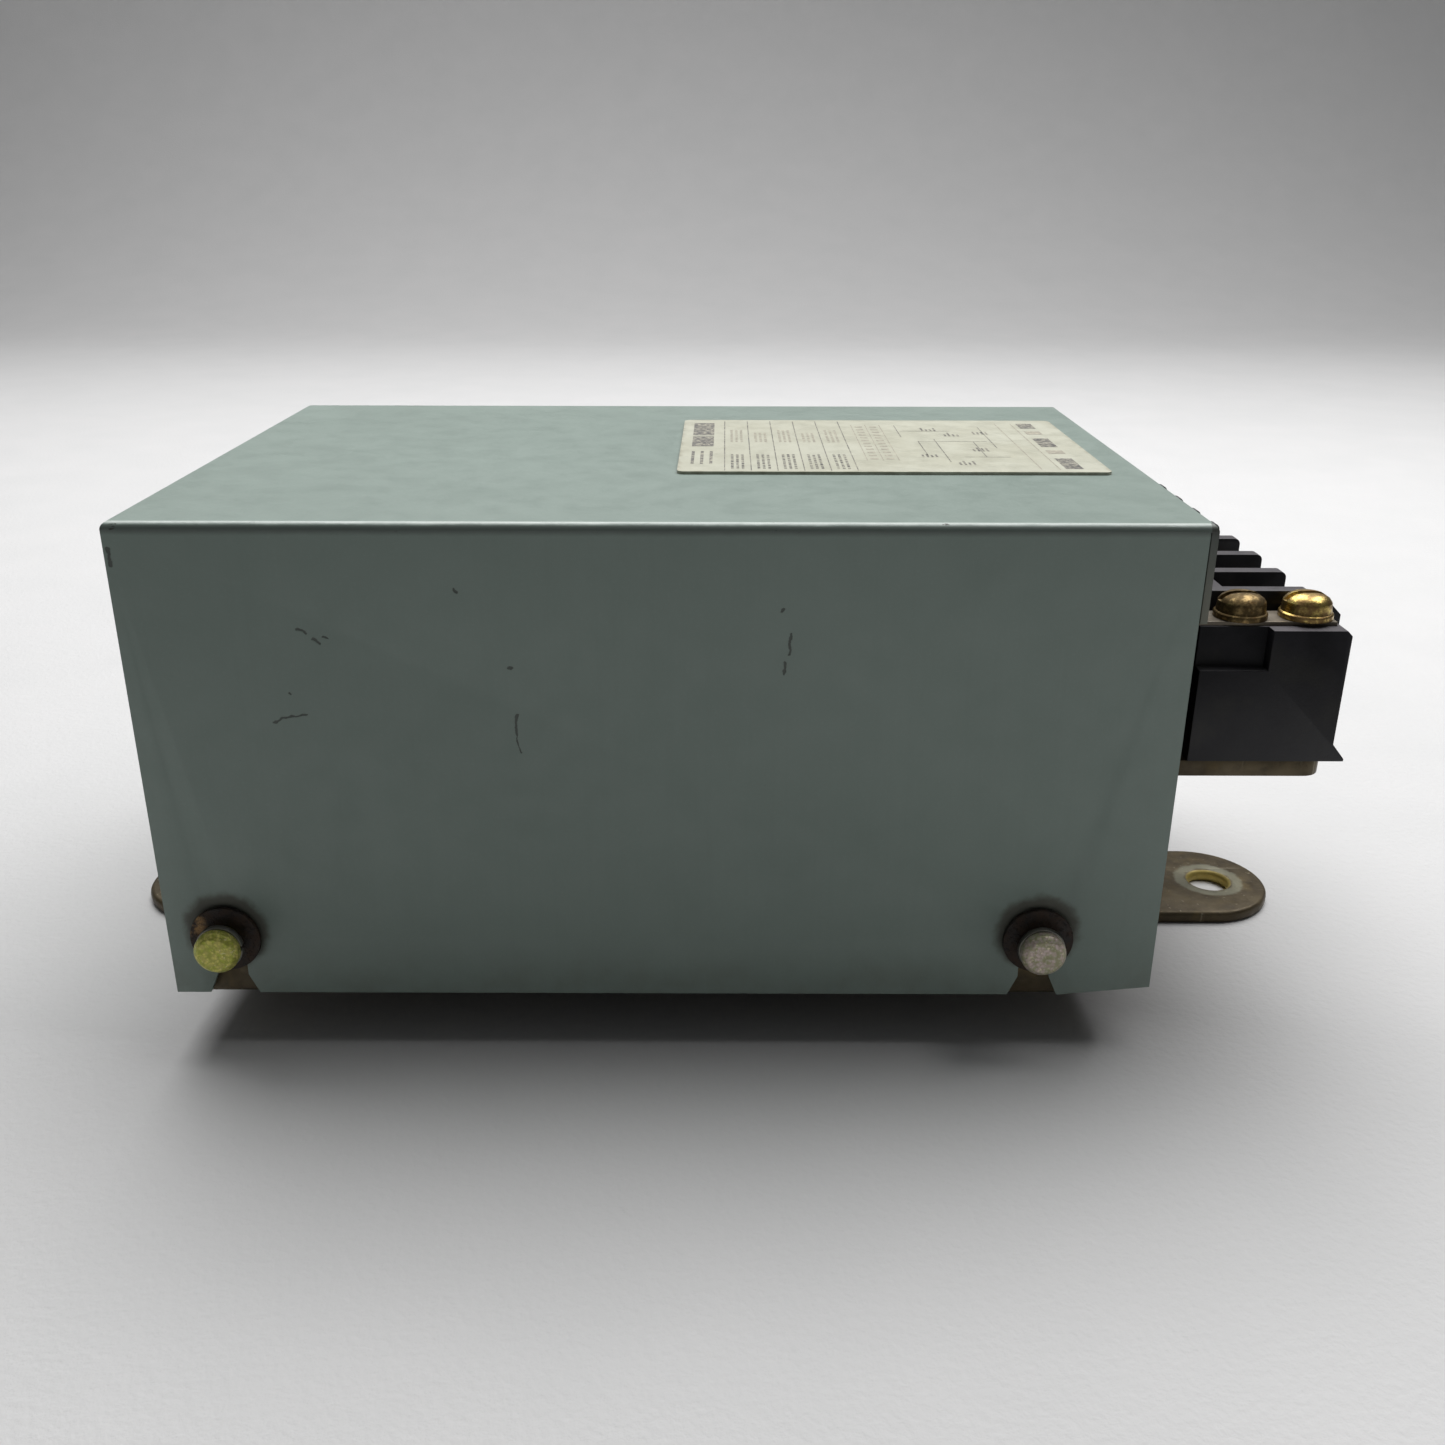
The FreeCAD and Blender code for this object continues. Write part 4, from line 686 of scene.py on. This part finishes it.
def make_floor():
    """Pale sheet that curves up behind the relay."""
    shape = bmesh.new()
    profile = [(-1.2, 0.0), (FLOOR_END, 0.0)]
    for step in range(1, FLOOR_STEPS + 1):
        angle = math.radians(90 * step / FLOOR_STEPS)
        profile.append((FLOOR_END + FLOOR_CURVE * math.sin(angle),
                        FLOOR_CURVE * (1 - math.cos(angle))))
    profile.append((FLOOR_END + FLOOR_CURVE, 2.2))
    rows = [[shape.verts.new((x, y, z)) for x in (-FLOOR_SIDE, FLOOR_SIDE)]
            for y, z in profile]
    for near, far in zip(rows, rows[1:]):
        shape.faces.new((near[0], near[1], far[1], far[0]))
    mesh = bpy.data.meshes.new("floor")
    shape.to_mesh(mesh)
    shape.free()
    mesh.polygons.foreach_set("use_smooth", [True] * len(mesh.polygons))
    paint = Finish("floor")
    soft = paint.noise(30 * MM, 3, seed=1)
    shade = paint.mix(soft, linear(203, 203, 203), linear(211, 210, 210))
    level = paint.ramp(soft, 0.0, 1.0, 0.8, 0.9)
    mesh.materials.append(paint.finish(shade, level, paint.noise(1.2 * MM, 4, seed=2), 0.00015))
    floor = bpy.data.objects.new("floor", mesh)
    bpy.context.scene.collection.objects.link(floor)


def add_light(name, place, aim, width, depth, power):
    """A soft rectangular light that faces a point."""
    lamp = bpy.data.lights.new(name, "AREA")
    lamp.shape = "RECTANGLE"
    lamp.size = width
    lamp.size_y = depth
    lamp.energy = power
    item = bpy.data.objects.new(name, lamp)
    item.location = place
    turn = (Vector(aim) - Vector(place)).to_track_quat("-Z", "Y")
    item.rotation_euler = turn.to_euler()
    bpy.context.scene.collection.objects.link(item)


def make_lights():
    """Large overhead light from slightly behind, a wash behind, and a weak fill all round."""
    world = bpy.data.worlds.new("studio")
    bpy.context.scene.world = world
    world.use_nodes = True
    background = world.node_tree.nodes["Background"]
    background.inputs["Color"].default_value = (0.95, 0.98, 1.0, 1)
    background.inputs["Strength"].default_value = 0.078
    add_light("overhead", (0.1, 0.32, 0.8), (0.04, 0.1, 0), 1.35, 0.75, 14.2)
    add_light("backdrop_wash", (0.0, 0.9, 1.5), (0, 1.4, 0.2), 2.6, 0.4, 3)


CAMERA_PLACE = (0.002916, -0.231953, 0.127423)
CAMERA_TURN = 0.075
CAMERA_PITCH = -21.882
CAMERA_ROLL = 0.124


def make_camera():
    """Camera at the viewing angle, from in front and above."""
    lens = bpy.data.cameras.new("camera")
    lens.sensor_width = 36
    lens.lens = 34.303
    lens.clip_start = 0.01
    camera = bpy.data.objects.new("camera", lens)
    turn = (Matrix.Rotation(math.radians(CAMERA_TURN), 4, "Z")
            @ Matrix.Rotation(math.radians(90 + CAMERA_PITCH), 4, "X")
            @ Matrix.Rotation(math.radians(CAMERA_ROLL), 4, "Z"))
    camera.matrix_world = Matrix.Translation(CAMERA_PLACE) @ turn
    bpy.context.scene.collection.objects.link(camera)
    bpy.context.scene.camera = camera


make_floor()
make_lights()
make_camera()
bpy.context.scene.view_settings.view_transform = "Standard"
